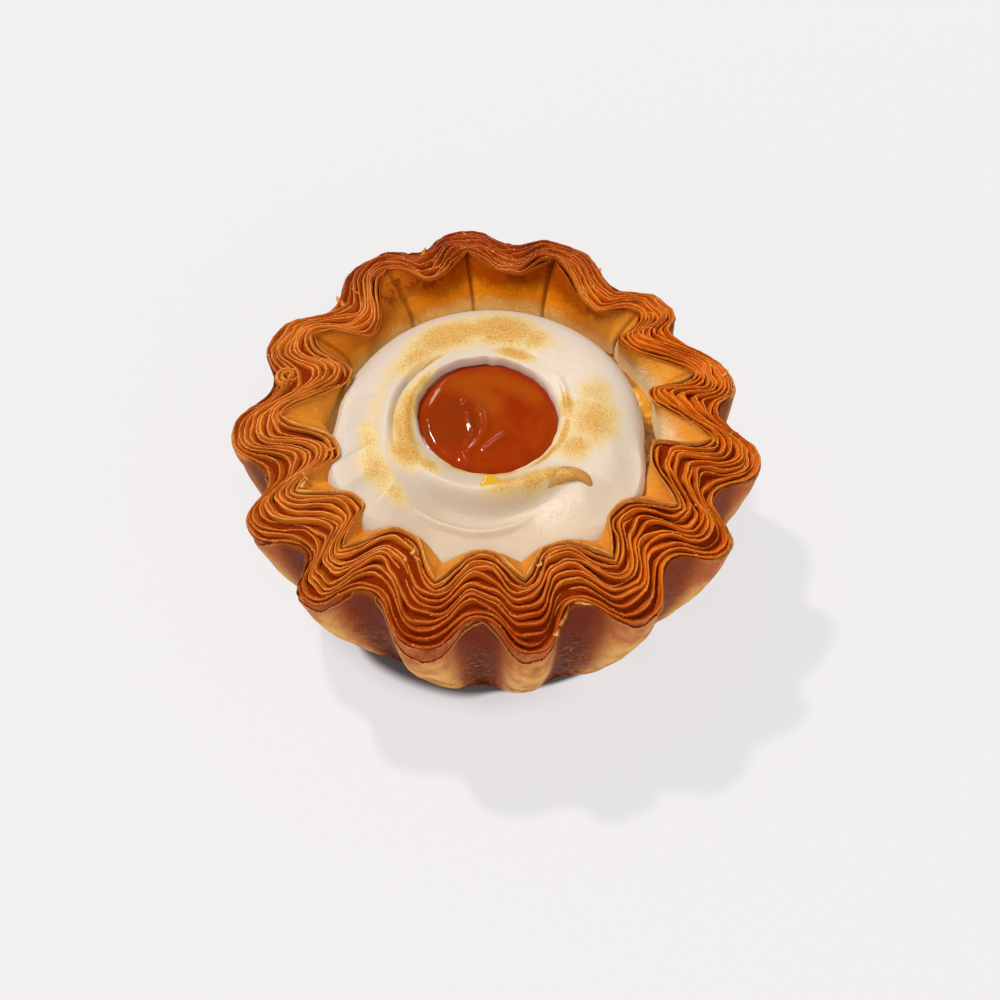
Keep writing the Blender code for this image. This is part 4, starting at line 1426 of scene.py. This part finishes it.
def custardMaterial():
    material, nodes, feed = newMaterial("eggCustard", {
        "Roughness": 0.25, "Coat Weight": 0.5, "Coat Roughness": 0.1, "Subsurface Weight": 0.3,
        "Subsurface Scale": 1.5 * mm, "Subsurface Radius": (1.0, 0.6, 0.15)})
    place = nodes.place()
    # amber over most of it: partly a browned skin, partly painted shade where the meringue and crust shade it;
    # yellow only in the gap on the right
    amberSkinAndShade = nodes.fade(nodes.noise(place, 3.0, detail=4.0), 0.35, 0.65, (200, 134, 46), (150, 86, 26))
    apart = nodes.vectors("DISTANCE", place, (29.0, 9.5, 32.0)).also("Value")
    yellow = nodes.ramp(apart, 5.0, 3.6)  # in the gap on the right
    feed("Base Color", nodes.layered(amberSkinAndShade, (yellow, (222, 158, 24))))
    feed("Normal", nodes.bump(nodes.noise(place, 1.2, detail=4.0), 0.5, 0.9))
    return material


def dripMaterial():
    material, nodes, feed = newMaterial("yolkDrip", {
        "Roughness": 0.12, "Coat Weight": 0.6, "Coat Roughness": 0.05})
    feed("Base Color", nodes.mix(nodes.noise(nodes.place(), 1.0), seen(232, 176, 20), seen(224, 160, 20)))
    return material


def meringueMaterial():
    material, nodes, feed = newMaterial("torchedMeringue", {
        "Roughness": 0.45, "Specular IOR Level": 0.4, "Subsurface Weight": 0.6,
        "Subsurface Scale": 4.0 * mm, "Subsurface Radius": (1.0, 0.75, 0.5)})
    place = nodes.place()
    x, y = nodes.xAndY(place)
    # painted light and shade: the cream is darker on the left, lighter on the right and darker in front, as
    # the light falls
    creamWithPaintedLight = nodes.fade(x, -20.0, 26.0, (211, 194, 178), (225, 208, 190))
    creamWithPaintedLight = nodes.tinted(creamWithPaintedLight, (nodes.ramp(y, -10.0, -30.0), (250, 242, 228)))
    toast, gloss = nodes.attribute("toast"), nodes.attribute("gloss")
    speckle = nodes.noise(place, 0.32, roughness=0.7)
    blurred = toast * 1.25 + (nodes.noise(place, 2.6) - 0.5) * 0.5
    specks = nodes.ramp(speckle, 0.52, 0.6) * nodes.ramp(blurred, 0.25, 1.1)
    feed("Base Color", nodes.layered(
        creamWithPaintedLight,
        (nodes.ramp(blurred + (speckle - 0.5) * 0.4, 0.15, 0.65), (224, 197, 136)),
        (nodes.ramp(blurred + (speckle - 0.5) * 0.9, 0.5, 1.1), (217, 168, 80)),
        (specks * 0.8, (184, 122, 38)),
        (nodes.ramp(blurred + (speckle - 0.5) * 1.6, 1.3, 1.7) * 0.7, (186, 116, 46))))
    feed("Roughness", nodes.noise(place, 5.0) * 0.2 + 0.36 - gloss * 0.26)
    bubbles = nodes.ramp(nodes.spots(place, 0.8), 0.3, 0.0)
    height = nodes.noise(place, 1.6, detail=4.0) * (gloss * 1.5 + 1.0) + speckle * 0.5 - bubbles * 0.4
    feed("Normal", nodes.bump(height, 0.17, 0.75))
    return material


def caramelMaterial():
    material, nodes, feed = newMaterial("softCaramel", {
        "Roughness": 0.3, "Specular IOR Level": 0.0, "Coat Weight": 0.5, "Coat Roughness": 0.12,
        "Coat IOR": 1.32, "Subsurface Weight": 0.1, "Subsurface Scale": 2.0 * mm,
        "Subsurface Radius": (1.0, 0.3, 0.05)})
    place, lit, lump = nodes.place(), nodes.attribute("lit"), nodes.attribute("lump")
    swirl = nodes.noise(place, 7.0, detail=2.0, distortion=0.8)
    grain = nodes.noise(place, 0.9)
    # the lit layer is partly a milkier caramel and partly a painted reflection
    feed("Base Color", nodes.layered(
        nodes.fade(swirl, 0.35, 0.65, (148, 42, 0), (156, 54, 0)),
        (lit, (162, 68, 4)), (lump * (grain * 0.5 + 0.4), (128, 44, 2))))
    feed("Normal", nodes.bump(nodes.noise(place, 4.0, detail=2.0) + grain * lump * 0.35, 0.3, 0.4))
    return material


def floorMaterial():
    # a pale floor that glows a little, as a lit table does, so that the shadow on it stays light
    material, nodes, feed = newMaterial("paleFloor", {
        "Roughness": 0.6, "Specular IOR Level": 0.1, "Base Color": seen(109, 107, 108),
        "Emission Strength": 0.775})
    # it goes dark close to the base, which keeps the light from it, most of all in front on the left
    fromAxis = nodes.vectors("SUBTRACT", nodes.place(), (*shift, 0.0))
    apart = nodes.vectors("LENGTH", fromAxis).also("Value")
    outwards, frontLeft = nodes.vectors("NORMALIZE", fromAxis), (-0.42, -0.91, 0.0)
    side = nodes.vectors("DOT_PRODUCT", outwards, frontLeft).also("Value")
    left = nodes.ramp(side, 0.9, 0.985)
    clear = nodes.ramp((apart - 36.8 - left * 0.8) / (left * 1.8 + 1.2), 0.0, 1.0)
    dim = nodes.fade(side, 0.6, 0.97, (244, 242, 243), (222, 216, 219))
    pale = nodes.layered(dim, (nodes.ramp(apart, 37.6, 44.0), (244, 242, 243)))
    feed("Emission Color", nodes.mix(clear, seen(40, 30, 34), pale))
    return material


# Camera, light and floor

view = {
    "elevation": 53.5,
    "distance": 735.0,
    "aim": (0.8, -9.2, 25.8),
    "lens": 134.5,
    "sensor": 36.0,
    "rimHeight": 32.6,
    "clip": (0.01, 20.0),  # metres
}
light = {
    # the way to each sun, its strength and its size in degrees
    "sun": ((-0.31, 0.31, 0.67), 2.4, 4.0),
    "glint": ((-0.25, 0.81, 0.52), 0.5, 9.0),
    "reflector": ((0.12, -0.6, 0.8), 0.62, 40.0),
    "sunColour": (1.0, 0.97, 0.93),
    "fillColour": (1.0, 0.99, 0.98, 1.0),
    "fill": 0.23,  # from every side
    "frontFill": 0.48,  # more from the front
}
floorReach = 3.0  # metres


def makeCamera():
    angle = math.radians(view["elevation"])
    camera = bpy.data.objects.new("camera", bpy.data.cameras.new("camera"))
    bpy.context.scene.collection.objects.link(camera)
    middle = Vector((*shift, 0.0))
    away = Vector((0.0, -math.cos(angle), math.sin(angle))) * view["distance"]
    camera.location = (middle + Vector((0.0, 0.0, view["rimHeight"])) + away) * mm
    target = (middle + Vector(view["aim"])) * mm
    camera.rotation_euler = (target - camera.location).to_track_quat("-Z", "Y").to_euler()
    camera.data.sensor_width, camera.data.lens = view["sensor"], view["lens"]
    camera.data.clip_start, camera.data.clip_end = view["clip"]
    bpy.context.scene.camera = camera


def makeSun(name):
    towards, strength, size = light[name]
    sun = bpy.data.objects.new(name, bpy.data.lights.new(name, "SUN"))
    bpy.context.scene.collection.objects.link(sun)
    sun.rotation_euler = Vector(towards).to_track_quat("Z", "Y").to_euler()
    sun.data.energy, sun.data.angle = strength, math.radians(size)
    sun.data.color = light["sunColour"]
    return sun


def makeLight():
    makeSun("sun")
    glint = makeSun("glint")
    glint.visible_diffuse = False  # it's only seen as a reflection
    glint.data.use_shadow = False
    makeSun("reflector").visible_glossy = False
    world = bpy.data.worlds.new("studio")
    bpy.context.scene.world = world
    world.use_nodes = True
    nodes = Nodes(world.node_tree)
    _, y = nodes.xAndY(nodes.add("ShaderNodeTexCoord").also("Generated"))
    background = world.node_tree.nodes["Background"]
    background.inputs["Color"].default_value = light["fillColour"]
    strength = nodes.ramp(y, 0.2, -0.7) * light["frontFill"] + light["fill"]
    nodes.tree.links.new(strength.socket, background.inputs["Strength"])
    bpy.context.scene.view_settings.view_transform = "Standard"


def makeFloor():
    mesh = bpy.data.meshes.new("floor")
    signs = ((-1, -1), (1, -1), (1, 1), (-1, 1))
    mesh.from_pydata([(x * floorReach, y * floorReach, 0.0) for x, y in signs], [], [(0, 1, 2, 3)])
    mesh.materials.append(floorMaterial())
    floor = bpy.data.objects.new("floor", mesh)
    bpy.context.scene.collection.objects.link(floor)


leafPaint, crumbPaint, leafSweep = leafMaterial(), crumbMaterial(), leafTree()
madeLeaves = makeLeaves(leafSweep, leafPaint)
makeCurl(leafSweep, leafPaint)
makeFlakes(crumbPaint)
makeCrumbs(madeLeaves, crumbPaint)
makeBody(wallMaterial())
makeCustard(custardMaterial())
makeMeringue(meringueMaterial())
makeCaramel(caramelMaterial())
makeDrip(dripMaterial())
makeCamera()
makeLight()
makeFloor()
print("scene made")
